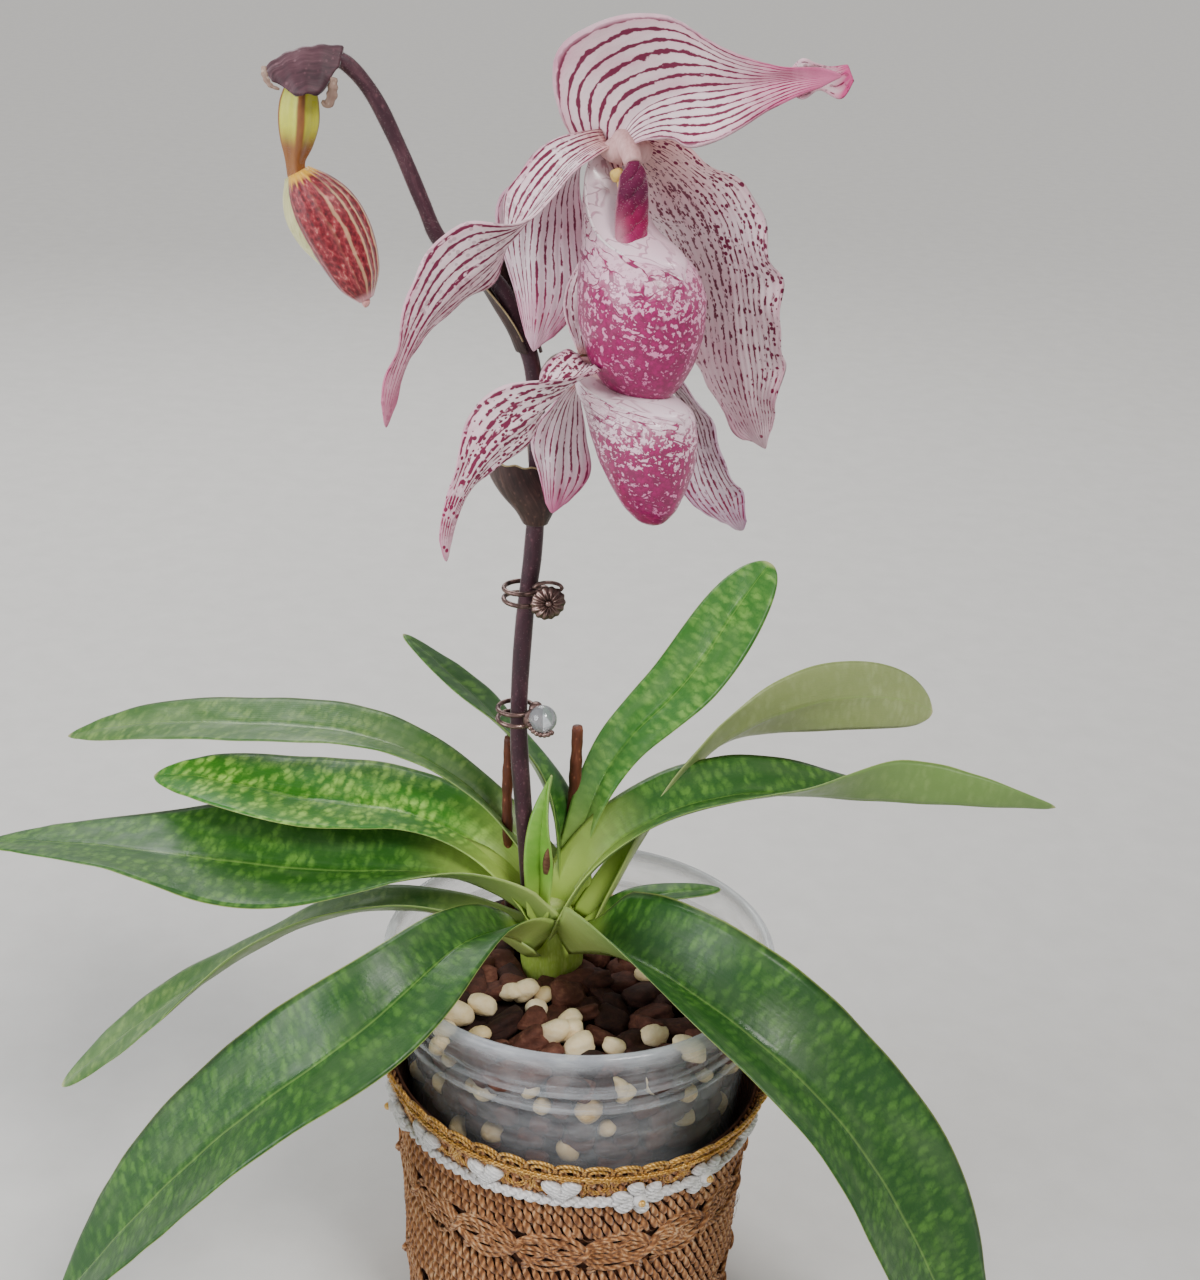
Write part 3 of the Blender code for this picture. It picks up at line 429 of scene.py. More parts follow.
def pouch_look(name, seed, low=0.5, strength=0.95):
    """Waxy pink with magenta veins above and dense broken mottling towards the toe."""
    look = Look(name, Roughness=0.30, Specular_IOR_Level=0.35, Coat_Weight=0.3,
                Coat_Roughness=0.10, Subsurface_Weight=0.05,
                Subsurface_Radius=(0.002, 0.001, 0.001))
    across, along, _ = look.split(look.map("share"))
    metric = look.map("metric", seed, 0.6)
    bend = look.noise(metric, (13, 13, 1), 3, 0.55)
    bent = look.shift(metric, bend * 0.10, bend * 0.10)
    big = look.cells(bent, (15, 38, 1), "DISTANCE_TO_EDGE", 0.6)[0]
    small = look.cells(bent, (62, 62, 1), "DISTANCE_TO_EDGE")[0]
    speckle = look.noise(look.place(), 780, 3, 0.62)
    down = along + (bend - 0.5) * 0.25
    vein = ((down.level(0.1, 0.85, 0.06, 0.11) - big).level(0, 0.04)
            * look.noise(metric, (17, 17, 1)).level(0.36, 0.50)
            * across.level(0.35, 0.60, 0.10, strength))
    mesh = ((0.13 - small).level(0, 0.08) * down.level(low - 0.1, low + 0.2)
            * speckle.level(0.44, 0.54))
    dense = down.level(low - 0.20, low + 0.25)
    cloud = (speckle + dense * 0.12).level(0.525, 0.565) * down.level(low - 0.24, low + 0.04)
    mark = look.calc("MAXIMUM", look.calc("MAXIMUM", vein, mesh * 0.85), cloud * 0.96)
    mark = look.held(mark, down.level(0.01, 0.12, 0.6, 1))
    ground = look.ramp(down, [(0, "f7e9ee"), (0.3, "f6d6e3"), (0.65, "e48cb7"), (1, "bd4886")])
    look.paint(ground.toward(look.ramp(speckle, [(0.45, "7e0048"), (0.7, "a80064")]), mark))
    look.relief(look.noise(metric, (26, 26, 1), 3), 0.4, 0.35)
    return look.made


def downy_look(name, dark, light, rough=0.6, spread=120, sheen=0.5):
    """Plant tissue with fine streaks along it and a soft bloom."""
    look = Look(name, Roughness=rough, Specular_IOR_Level=0.3, Sheen_Weight=sheen,
                Sheen_Roughness=0.4)
    place = look.place()
    streak = look.noise(place, (spread * 12, spread * 12, spread * 1.5), 4, 0.6)
    value = streak * 0.6 + look.noise(place, spread, 3) * 0.5
    look.paint(look.ramp(value, [(0.32, dark), (0.72, light)]))
    look.relief(streak, 0.25, 0.4)
    return look.made


def stem_look(name, dark, mid, light, sheen=0.6):
    """Dull stem with streaks along it and a dust of pale points."""
    look = Look(name, Roughness=0.55, Specular_IOR_Level=0.35, Sheen_Weight=sheen,
                Sheen_Roughness=0.35)
    streak = look.noise(look.map("metric"), (110, 9, 1), 4, 0.6)
    blot = look.noise(look.place(), (90, 90, 60), 3, 0.6)
    dust = look.cells(look.place(), (700, 700, 500))[0]
    tone = streak * 0.55 + (blot * 0.6 + dust.level(0.3, 0.1, 0, 0.12))
    look.paint(look.ramp(tone.level(0.3, 0.95), [(0, dark), (0.5, mid), (1, light)]))
    look.relief(streak + dust * 0.4, 0.25, 0.6)
    return look.made


def bulk_look(name, stops, rough, stripes, depth):
    """Bark or stone: each lump has its own tone, with grain along it."""
    look = Look(name, Roughness=rough, Specular_IOR_Level=0.3)
    own = look.split(look.map("share"))[0]
    place = look.place()
    grain = look.noise(place, (stripes, 260, 900), 4, 0.65, 0.4)
    spots = look.noise(place, 420, 3, 0.6)
    tone = own * 0.55 + ((grain - 0.5) * 0.7 + (spots - 0.5) * 0.5)
    look.paint(look.ramp(look.calc("ADD", tone, 0.2, True), stops))
    look.relief(grain + spots, depth, 0.7)
    return look.made


def yarn_look(name, dark, mid, light, twist, depth, rough=0.85, metal=0.0, sheen=0.5):
    """Twisted yarn: fine fibres that wind round each strand."""
    look = Look(name, Roughness=rough, Metallic=metal, Sheen_Weight=sheen, Sheen_Roughness=0.5,
                Specular_IOR_Level=0.25)
    around, along = look.split(look.map("share"))[0], look.split(look.map("metric"))[1]
    ply = look.calc("SINE", (around * 2.0 + along * twist) * TURN)
    place = look.place()
    fibre = look.noise(place, (900, 900, 500), 4, 0.65)
    slow, own = look.noise(place, 45, 3, 0.6), look.noise(place, (240, 240, 200), 1)
    tone = ply * 0.14 + (fibre * 0.7 + (slow * 0.35 + own * 0.3))
    look.paint(look.ramp(tone.level(0.35, 1.15), [(0, dark), (0.5, mid), (1, light)]))
    look.relief(ply * 0.5 + fibre, depth, 0.8)
    return look.made


# Blades: leaves and petals

LEAF_LOOKS = {spec[0]: leaf_look(*spec) for spec in (
    ("leaf_top", "265619", "689a3b", "abc65c", 0.0, 0.70, 0.28, 0.15),
    ("leaf_bright", "2f7218", "9bca55", "b0cc60", 3.1, 1.15, 0.32, 0.1),
    ("leaf_deep", "1f4d16", "5f9336", "86a846", 4.4, 0.55, 0.08, 0.15),
    ("leaf_soft", "347022", "7cad4c", "9fbf60", 8.2, 0.8, 0.34, 0.2),
    ("leaf_mist", "3e672b", "7f9f50", "a2b969", 1.4, 0.75, 0.22, 0.5),
    ("leaf_under", "6d8d48", "8fa963", "a8bd6a", 5.3, 0.4, 0.2, 0.1),
    ("leaf_pale", "8e9c60", "abb780", "a8bd6a", 6.3, 0.5, 0.30, 0.1),
    ("leaf_young", "6aa032", "93bd50", "b2cb65", 7.7, 0.4, 0.5, 0.1))}

# Start, length, headings, climbs, rolls, half width, neck as a share of it, widest place
LEAVES = {
    "leaf_centre": ((-11.5, 6.2, 119), 48, (90, 90, 90, 60, 20), (93, 89, 86, 80, 76),
                    (0, -3, -7, -4, 2), 5.4, 0.8, 0.45),
    "leaf_right_upright": ((-5, 16, 122), 117, (47, 48, 35, 46, 45), (80, 63, 33, 43, 35),
                           (3, 13, 17, 21, 22), 10.5, 0.2, 0.66),
    "leaf_back_left": ((-3, 17, 121), 97, (117, 150, 154, 144, 144), (72, 76, 43, 25, 21),
                       (-3, 6, 28, 17, 10), 10.0, 0.65, 0.45),
    "leaf_right_long": ((-6, 9, 120), 157, (24, 12, 12, 6, 9), (75, 29, -5, -4, -4),
                        (5, 7, -9, -51, -42), 15.0, 0.6, 0.5),
    "leaf_right_back": ((3, 13, 119), 142, (35, 36, 29, 31, 34), (57, 51, 17, -8, -32),
                        (1, -32, -66, -97, -121), 10.5, 0.45, 0.66),
    "leaf_far_left": ((-9, 16, 125), 170, (145, 159, 166, 162, 163), (61, 26, -3, -11, -23),
                      (-1, -3, -6, -11, -21), 12.0, 0.2, 0.58),
    "leaf_left_upper": ((-12, 12, 122), 122, (154, 162, 179, 164, 164), (57, 21, 4, 3, -12),
                        (-23, -5, -3, -2, -10), 19.5, 0.55, 0.58),
    "leaf_left_long": ((-11, 7, 121), 158, (174, 184, 176, 176, 174), (52, 2, 2, 2, -9),
                       (23, 0, -14, 8, 8), 22.0, 0.53, 0.58),
    "leaf_front_left": ((-12, 3, 116), 186, (225, 234, 188, 187, 193), (55, -12, -39, -49, -54),
                        (27, -20, -17, -15, -5), 20.5, 0.36, 0.58),
    "leaf_front_right": ((-3, 3, 116), 182, (-51, -40, -14, -23, -25), (37, -7, -44, -59, -61),
                         (-20, 8, 14, 17, 9), 22.5, 0.8, 0.58),
    "leaf_left_low": ((-14, 5, 113), 155, (174, 179, 179, 184, 187), (42, -2, -34, -39, -43),
                      (0, 10, 18, 0, -9), 12.0, 0.4, 0.58),
    "leaf_small_right": ((1, 9, 118), 41, (12, 11, 7, 8, 9), (50, 33, 12, 5, 2),
                         (0, -1, -4, -2, 2), 6.5, 0.61, 0.5),
}
LEAF_FOLD = (44, 24, 12, 8, 4)
LEAF_FOLDS = {"leaf_right_long": (44, 30, 24, 38, 26), "leaf_front_left": (48, 20, 16, 14, 12),
              "leaf_front_right": (56, 42, 22, 18, 14), "leaf_centre": (60, 45, 35, 30, 20)}
LEAF_TOPS = {"leaf_centre": "leaf_young", "leaf_left_upper": "leaf_bright",
             "leaf_right_upright": "leaf_soft", "leaf_front_left": "leaf_deep",
             "leaf_front_right": "leaf_deep", "leaf_far_left": "leaf_mist",
             "leaf_left_low": "leaf_mist"}
LEAF_TIPS = {"leaf_right_upright": (2.6, 0.5), "leaf_right_back": (2.8, 0.5),
             "leaf_left_low": (2.3, 0.6), "leaf_back_left": (2.2, 0.7),
             "leaf_left_upper": (1.8, 0.72), "leaf_centre": (1.6, 0.9)}


def blade(name, node, slot, start, length, heads, climbs, rolls, left, right, fold, cols, thick,
          looks, relief, t):
    """A thin closed blade with an upper and an under face that meet at a fine margin."""
    centre, side, up = spine(start, length, heads, climbs, rolls, t)
    u = np.linspace(-1, 1, cols + 1)
    half = np.where(u[None] < 0, right(t)[:, None], left(t)[:, None])
    lean = np.radians(flow(fold, t))[:, None]
    lift = np.abs(u)[None] ** BLADE_BOW * half * np.sin(lean) + relief(t[:, None], u[None], half)
    across = u[None] * half * np.cos(lean)
    grid = centre[:, None] + side[:, None] * across[..., None] + up[:, None] * lift[..., None]
    normal = unit(np.cross(np.gradient(grid, axis=0), np.gradient(grid, axis=1)))
    flip = np.sign(np.sum(normal * up[:, None], -1, keepdims=True))
    normal = normal * np.where(flip == 0, 1, flip)
    ends = np.sqrt(np.clip(np.minimum(t, 1 - t) / 0.02, 0, 1))[:, None]
    body = (thick / 2 * np.sqrt(np.clip(1 - np.abs(u) ** 5, 0, 1))[None] * ends)[..., None]
    top, under = grid + normal * body, grid - normal * body
    index = np.arange(half.size).reshape(half.shape)
    inside = np.zeros(index.shape, bool)
    inside[1:-1, 1:-1] = True
    below = index.copy()
    below[inside] = half.size + np.arange(inside.sum())
    maps = [pairs((u[None] + 1) / 2, t[:, None]),
            pairs(u[None] * half / MAP_MM, t[:, None] * length / MAP_MM)]
    faces = []
    for i in range(len(t) - 1):
        for j in range(cols):
            faces.append((index[i, j], index[i + 1, j], index[i + 1, j + 1], index[i, j + 1]))
            faces.append((below[i, j], below[i, j + 1], below[i + 1, j + 1], below[i + 1, j]))
    return piece(name, np.concatenate([top.reshape(-1, 3), under[inside]]), faces, looks, slot,
                 node, *(np.concatenate([data, data[index[inside]]]) for data in maps),
                 np.tile([0, 1], len(faces) // 2))


def crowd(rows, tip, tip_rows, power):
    """Places along a blade, evenly over its body and closer together in its tip."""
    near = (1 - np.linspace(0, 1, tip_rows + 1)[1:]) ** power
    return np.concatenate([np.linspace(0, 1 - tip, rows), 1 - tip * near])


def leaf_widths(length, half, neck, widest, tip):
    """Half the width along a leaf, from its foot in the crown to its tip."""
    foot = 3.4 if length < 60 else 6.8 if half < 11 else 10.2

    def width(t):
        a = np.clip(t / widest, 0, 1)
        rise = neck + (1 - neck) * (3 * a ** 2 - 2 * a ** 3)
        b = np.clip((t - widest) / (1 - widest), 0, 1)
        fall = np.clip(1 - b ** tip[0], 0, 1) ** tip[1]
        near = np.exp(-t * length / 26.0)
        grown = foot + 0.9 * np.maximum(t * length - 7.0, 0)
        body = half * rise * (1 - near) + max(foot, half * neck) * near
        return np.maximum(np.minimum(body, grown) * fall, 0.05)
    return width


def leaf_relief(length, shift, wild):
    """A groove over the midrib, ripples at the margins and a faint quilting."""
    def lift(t, u, w):
        groove = -0.55 * np.exp(-(u * w / 0.9) ** 2) * np.clip(1.2 - t, 0, 1)
        ripple = wild * np.abs(u) ** 2 * np.sin(t * length / 11.0 + shift + u)
        quilt = 0.10 * np.sin(t * length / 3.1 + 2 * np.sin(u * w / 2.1 + shift))
        return (groove + ripple * np.clip(t * 3, 0, 1) + quilt) * np.clip(w / 4, 0, 1)
    return lift


leaf_rows = crowd(58, 0.1, 16, 1.8)
for number, (node, (*path, half, neck, widest)) in enumerate(LEAVES.items()):
    twisted = node == "leaf_right_back"
    length = path[1]
    width = leaf_widths(length, half, neck, widest, LEAF_TIPS.get(node, (2.1, 0.75)))
    blade(node + "_blade", node, "leaf_green", *path, width, width,
          LEAF_FOLDS.get(node, LEAF_FOLD), 18, LEAF_THICK,
          [LEAF_LOOKS[LEAF_TOPS.get(node, "leaf_top")],
           LEAF_LOOKS["leaf_pale" if twisted else "leaf_under"]],
          leaf_relief(length, number * 1.7, 1.0 if twisted else 0.25), leaf_rows)

# Start, length, headings, climbs, rolls, left and right half widths, folds
PETALS = {
    "upper_dorsal_sepal": ((2, -7, 326), 62, (-45, -28, -36, -23, -25), (105, 36, 10, 13, 3),
                           (67, 103, 101, 100, 82), (10, 23, 19.5, 4.4, 1.2),
                           (2, 7.5, 12, 5.6, 1.2), (10, 25, 28, 20, 10)),
    "upper_left_petal": ((-1, -6.5, 332), 82.7, (212, 211, 192, 206, 202),
                         (-11, -53, -39, -59, -84), (-34, -9, 58, 55, 62), (3, 6, 12, 5.5, 1.5),
                         (3, 9, 9, 4, 1.4), (15, 15, 15, 10, 5)),
    "upper_right_petal": ((4.5, -5, 332), 90.4, (9, 25, 39, 46, 46), (-21, -53, -75, -71, -53),
                          (-28, -28, -12, -15, -23), (12, 27, 21, 14, 2),
                          (5, 11, 12, 9.5, 1.2), (5, 10, 10, 8, 5)),
    "upper_synsepal": ((-6, -3, 328), 52, (157, 135, 105, 89, 91), (-32, -55, -81, -96, -89),
                       (0, 0, 3, 6, 4), (4, 11, 9, 5, 1.2), (5, 11.5, 12.5, 12, 1.5),
                       (5, 12, 12, 10, 5)),
    "lower_dorsal_sepal": ((-3, 0, 282), 31, (75, 70, 60, 50, 40), (60, 76, 82, 86, 88),
                           (0, 0, 0, 0, 0), (3, 7, 8, 5, 1.2), (3, 7, 8, 5, 1.2),
                           (20, 20, 15, 10, 5)),
    "lower_left_petal": ((-4.5, -5.5, 280.5), 72, (285, 244, 197, 199, 198),
                         (35, -17, -38, -61, -94), (-40, 7, 79, 79, 63), (3, 5, 10, 3.5, 1.4),
                         (3, 7.5, 7, 2.5, 1.2), (15, 15, 15, 10, 5)),
    "lower_right_petal": ((-1, -2.5, 280.5), 66, (-8, 9, 30, 39, 45), (18, -37, -71, -58, -40),
                          (-10, -10, 0, -18, -24), (3, 8, 9.5, 12, 3), (3, 9, 7, 7, 2.5),
                          (5, 10, 10, 8, 5)),
    "lower_synsepal": ((-5.5, -3, 277), 37.6, (150, 128, 109, 97, 91), (-51, -66, -78, -86, -87),
                       (-1, -8, -3, 3, -1), (3, 4.5, 6, 3.5, 1.2), (3, 8, 8.5, 9, 1.2),
                       (5, 12, 12, 10, 5)),
}
# Name, lines, ground, blush, blush at the tip, dots, their reach, breaks, seed, width, warm foot
PETAL_LOOKS = (
    ("dorsal_stripes", 14, "f6e0e4", "cf6f95", 1.0, 0.0, 0.6, 0.0, 0.3, 0.18, 0.12),
    ("left_petal_stripes", 10, "f5e2e6", "cf7f9c", 0.8, 0.35, 0.8, 0.35, 1.9, 0.20, 0.1),
    ("right_petal_dots", 17, "f5e2e6", "d99bb0", 0.35, 1.0, 0.40, 0.75, 3.7, 0.20, 0.34),
    ("synsepal_stripes", 13, "f0e2e8", "cd7fa0", 0.5, 0.0, 0.5, 0.3, 5.2, 0.15, 0.1),
    ("lower_dorsal_stripes", 11, "f5e2e6", "d99bb0", 0.5, 0.2, 0.5, 0.4, 8.8, 0.20, 0.1),
    ("lower_left_dots", 9, "f5e2e6", "cb7f9c", 0.4, 1.0, 0.9, 0.6, 6.4, 0.26, 0.08),
    ("lower_right_stripes", 11, "ecdbe3", "b985a8", 0.6, 0.5, 0.5, 0.5, 7.1, 0.20, 0.1),
    ("lower_synsepal_stripes", 9, "f0e2e8", "cd6f98", 0.8, 0.0, 0.5, 0.35, 9.9, 0.15, 0.1))
PETAL_RIPPLES = (0.6, 0.7, 1.5, 0.35, 0.35, 0.5, 0.7, 0.35)


def petal_side(widths):
    def width(t):
        tip = np.sqrt(np.clip((1 - t) / 0.07, 0, 1))
        return np.maximum(flow(widths, t) * np.where(t > 0.93, tip, 1), 0.05)
    return width


def petal_relief(length, ripple, number):
    """Ripples at the margins, fine ribs and a keel."""
    def lift(t, u, w):
        edge = ripple * np.abs(u) ** 3 * (np.sin(t * length / 3.2 + number + 2 * u)
                                          + 0.6 * np.sin(t * length / 1.9 + 2 * number))
        ribs = 0.10 * np.cos(u * w * 2.4)
        keel = 0.5 * np.exp(-(u * w / 1.2) ** 2)
        return (edge * np.clip(t * 4, 0, 1) + ribs - keel) * np.clip(w / 4, 0, 1)
    return lift


petal_rows = crowd(62, 0.12, 18, 1.7)
for number, (node, (*path, left, right, fold)) in enumerate(PETALS.items()):
    look = petal_look(*PETAL_LOOKS[number])
    blade(node + "_blade", node, "petal_white", *path, petal_side(left), petal_side(right), fold,
          26, PETAL_THICK, [look, look], petal_relief(path[1], PETAL_RIPPLES[number], number),
          petal_rows)


def plain_side(widths):
    return lambda t: flow(widths, t)


curl_look = petal_look("dorsal_curl_stripes", 6, "f8eaec", "d2568c", 0.9, 0.5, 0.9, 0.8, 2.7,
                       0.12, 0.03)
blade("upper_dorsal_curl", None, "petal_white", (35.0, -25.5, 348.2), 13.6, (0, 0),
      (0, 4, 12, 20, 24), (78, 84, 92, 96, 96), plain_side((0.8, 5.2, 4.0, 1.8, 0.6)),
      plain_side((0.8, 4.6, 2.6, 5.0, 2.4)), (15, 35, 30, 20, 10), 22, 0.7, [curl_look, curl_look],
      lambda t, u, w: 1.1 * u * np.sin(t * 5.5) + 0.3 * np.abs(u) ** 3 * np.sin(t * 9 + 2 * u),
      np.linspace(0, 1, 44))

# Pouches

# Hub, heading, then rings (depth, forward, two radii, opening), mottle, fold's start, seed
POUCHES = {
    "upper_pouch": (UPPER_HUB, -45,
                    ((0, 0, 4.6, 5.4, 140), (7, 0.4, 7.2, 7.8, 122), (14, 0.8, 8.2, 8.6, 105),
                     (20, 2, 9.4, 9, 85), (23.5, 4.4, 12, 10.6, 45), (26, 6.6, 14.2, 12, 0),
                     (32, 8.3, 16, 13, 0), (40, 8.7, 15.6, 12.8, 0), (47, 9.2, 13.2, 11.2, 0),
                     (52, 9.7, 10, 8.6, 0), (56, 10.2, 5.8, 5.2, 0), (58.2, 10.4, 0.3, 0.3, 0)),
                    0.50, 0.12, 1.3),
    "lower_pouch": (LOWER_HUB, -42,
                    ((-1, 2.5, 4.5, 5, 130), (1.4, 7.5, 7.5, 8, 100), (3.2, 12, 10.5, 10.4, 66),
                     (4.8, 15.6, 12.4, 11.6, 32), (6, 17.2, 13, 12, 0), (12, 18.8, 12.8, 11.8, 0),
                     (18, 20, 11.4, 10.8, 0), (23, 21, 9.2, 8.8, 0), (28, 22, 6.4, 6, 0),
                     (31.5, 22.5, 3, 2.8, 0), (32.6, 22.6, 0.3, 0.3, 0)), 0.36, 0.1, 4.9),
}


def make_pouch(node, hub, way, stations, low, fold_from, seed):
    """A slipper with a fine wall, a rolled rim and the folded-in lip below its mouth."""
    stations, hub = np.array(stations, float), np.array(hub)
    keys = run_lengths(stations[:, [0, 2]])
    rows, cols, lip_cols = 70, 73, 25
    v = np.linspace(0, 1, rows)
    shape = np.stack([np.interp(v, keys / keys[-1], stations[:, k]) for k in range(5)], -1)
    for k in range(5):
        ahead = 2 * shape[0, k] - shape[[2, 1], k]
        padded = np.concatenate([ahead, shape[:, k], shape[[-1, -1], k]])
        shape[:, k] = np.convolve(padded, np.array([1, 2, 3, 2, 1]) / 9, "valid")
    shape[shape[:, 4] < 1.0, 4] = 0
    depth, middle, long, wide, opening = (shape[:, k:k + 1] for k in range(5))
    heading = math.radians(way)
    front = np.array([math.cos(heading), math.sin(heading), 0])
    side = np.array([-front[1], front[0], 0])
    s = np.linspace(-1, 1, cols)[None]
    turn = np.radians(180 + (180 - opening) * s)
    sag = 0.35 * np.cos(3 * turn) * np.sin(v * 9)[:, None]
    grid = (hub + front * (middle + (long + sag) * np.cos(turn))[..., None]
            + side * ((wide + sag) * np.sin(turn))[..., None])
    grid[..., 2] = hub[2] - depth
    normal = unit(np.cross(np.gradient(grid, axis=0), np.gradient(grid, axis=1)))
    out = grid - (hub + front * middle)[:, None]
    out[..., 2] = 0
    normal *= np.sign(np.sum(normal * out, -1, keepdims=True) + 1e-9)
    share = pairs((s + 1) / 2, v[:, None])
    metric = pairs(np.radians(s * 180) * np.maximum(long, 2) / MAP_MM, v[:, None] * 0.62)
    piece(node + "_wall", *two_skins(grid, grid - normal * POUCH_WALL, grid_faces(rows, cols)),
          pouch_look(node + "_net", seed, low), "pouch_pink", node, np.tile(share, (2, 1)),
          np.tile(metric, (2, 1)))

    lip = np.nonzero(shape[:, 4])[0][-1] + 1
    edge = np.concatenate([grid[:lip + 1, 0], grid[:lip, -1][::-1]])
    rim = Pile()
    rim.tube(blend_neighbours(edge, 4), 0.32, 10)
    rim.make(node + "_rim", pouch_look(node + "_rim_net", 2.2, 0.9), "pouch_pink")

    inner = np.arange(int(lip * fold_from), lip + 1)
    v = v[inner, None]
    c = np.linspace(0, 1, lip_cols)[None]
    start, end = grid[inner, 0], grid[inner, -1]
    chord = start[:, None] * (1 - c[..., None]) + end[:, None] * c[..., None]
    span = np.linalg.norm(end - start, axis=-1)[:, None]
    part = (inner - inner[0])[:, None] / (lip - inner[0])
    arch = np.sin(math.pi * c)
    bulge = span * arch ** 0.7 * 0.34 * np.clip(part / 0.3, 0, 1) ** 0.8
    fold = chord + front * bulge[..., None]
    fold[..., 2] += 0.10 * span * arch * part
    under = fold - front * 0.5 - np.array([0, 0, 0.3])
    piece(node + "_lip", *two_skins(fold, under, grid_faces(len(v), lip_cols)),
          pouch_look(node + "_lip_net", 6.7, low + 0.3, 0.5), "pouch_pink", None,
          np.tile(pairs(c, v * 0.9), (2, 1)),
          np.tile(pairs(c * 0.2, v * 0.62), (2, 1)))


for node, spec in POUCHES.items():
    make_pouch(node, *spec)

# Pot, medium and crown


def soften(profile, step, passes):
    """A profile resampled finely between its ends, with its corners rounded off."""
    inner = np.array(profile[1:-1], float)
    way = run_lengths(inner)
    at = np.linspace(0, way[-1], int(way[-1] / step) + 1)
    fine = np.stack([np.interp(at, way, inner[:, k]) for k in range(2)], -1)
    return np.concatenate([profile[:1], blend_neighbours(fine, passes), profile[-1:]])


def turned(name, node, slot, profile, steps, looks, shape=None, at=(0, 0)):
    """A closed body from a profile that runs from the axis to the axis."""
    profile = np.asarray(profile, float)
    a = np.linspace(0, TURN, steps, endpoint=False)[None]
    r, z, _ = np.broadcast_arrays(profile[1:-1, :1], profile[1:-1, 1:], a)
    grid = np.stack([r * np.cos(a), r * np.sin(a), z], -1)
    if shape is not None:
        grid = shape(grid, a, z)
    way = run_lengths(profile)
    first = (len(grid) - 1) * steps
    faces = grid_faces(len(grid), steps, True)
    faces += [(first + steps, (j + 1) % steps, j) for j in range(steps)]
    faces += [(first + steps + 1, first + j, first + (j + 1) % steps) for j in range(steps)]
    ends = [[0, 0, profile[0, 1]], [0, 0, profile[-1, 1]]]
    return piece(name, np.concatenate([grid.reshape(-1, 3), ends]) + np.array([*at, 0]), faces,
                 looks, slot, node, *(np.concatenate([data, [[0, 0], [0, 1]]]) for data in (
                     pairs(a / TURN, way[1:-1, None] / way[-1]),
                     pairs(a * 0.47, way[1:-1, None] / MAP_MM))))


plastic = Look("clear_plastic", Specular_IOR_Level=0.5)
height = plastic.split(plastic.place())[2]
haze = plastic.noise(plastic.map("metric"), (9, 30, 1), 4, 0.6)
plastic.paint(plastic.ramp(haze, [(0.3, "aab0b8"), (0.7, "d4d8dc")]))
plastic.rough(haze.level(0.3, 0.7, 0.07, 0.22))
# Alpha: milky frost from the noise, plus painted highlight bands of whiter plastic at the rim and
# along the two ridges, and a little more below the step near 100 mm.
frost_and_painted_highlight = height.level(0.1165, 0.1215, 0.035, 0.48) + haze.level(0.35, 0.75, 0.03, 0.16)
for ridge in (0.1100, 0.1039):
    frost_and_painted_highlight = frost_and_painted_highlight + abs(height - ridge).level(0.0014, 0.0006, 0, 0.26)
frost_and_painted_highlight = frost_and_painted_highlight + height.level(0.1020, 0.0985, 0, 0.07)
plastic.plug(plastic.shader.inputs["Alpha"], frost_and_painted_highlight)
plastic.relief(haze, 0.25, 0.25)

POT = [(0, 4.0), (38.0, 4.0), (39.0, 9), (41.8, 49), (45.4, 90), (46.3, 102), (47.5, 106),
       (49.1, 112), (49.3, 117), (49.9, 121.6), (50.5, 122.1), (51.6, 122.1), (52.5, 121.2),
       (52.6, 117), (52.2, 116.4), (50.5, 115.8), (50.3, 112), (51.3, 111), (51.3, 109),
       (48.9, 108), (48.7, 105.6), (49.7, 104.8), (49.7, 103), (47.5, 101.8), (46.6, 90),
       (43, 49), (40, 8), (38.6, 2.8), (0, 2.8)]
turned("pot_shell", "clear_pot", "pot_clear", soften(POT, 0.5, 1), 144, plastic.made)

work = bmesh.new()
bmesh.ops.create_icosphere(work, subdivisions=3, radius=1.0)
BALL = np.array([vert.co[:] for vert in work.verts])
BALL_FACES = [tuple(vert.index for vert in face.verts) for face in work.faces]
work.free()


def lump(pile, centre, size, turn=(0, 0, 0), power=2.0, rough=0.0, tone=None):
    """A rounded block, boxier as power grows, with uneven sides."""
    seeds = dice.uniform(0, 9, 6)
    x, y, z = BALL.T
    v = BALL / (np.abs(BALL) ** power).sum(-1, keepdims=True) ** (1 / power)
    wave = (np.sin(2.1 * x + seeds[0]) * np.sin(2.7 * y + seeds[1])
            + 0.6 * np.sin(4.6 * z + seeds[2] + 2 * x)
            + 0.4 * np.sin(7.0 * y + seeds[3]) * np.sin(6.0 * x + seeds[4]))
    v = v * (1 + rough * wave[:, None]) * np.asarray(size)
    spin = np.array(Euler(tuple(turn)).to_matrix())
    own = dice.uniform() if tone is None else tone
    pile.add(v @ spin.T + np.asarray(centre), BALL_FACES, np.full((len(v), 2), own))


bark_look = bulk_look("bark", [(0, "160b09"), (0.35, "371d16"), (0.7, "5e372b"), (1, "8a5b49")],
                      0.8, 260, 0.5)
stone_look = bulk_look("stones", [(0, "b9955f"), (0.4, "e0c796"), (1, "f3e6c8")], 0.6, 500, 0.3)
core_look = bulk_look("medium_core", [(0, "140b09"), (0.6, "2e1a14"), (1, "4a2d23")],
                      0.9, 300, 0.8)
CORE = [(0, 104), (20, 104), (40.5, 103.6), (42.6, 101), (41.2, 88), (38, 49), (36.4, 9),
        (35, 6), (0, 6)]
turned("medium_core", "growing_medium", "bark_brown", soften(CORE, 2.5, 1), 90, core_look,
       lambda grid, a, z: grid * (1 + 0.012 * np.sin(9 * a + z * 0.7)
                                  * np.sin(5 * a - z * 0.5))[..., None])

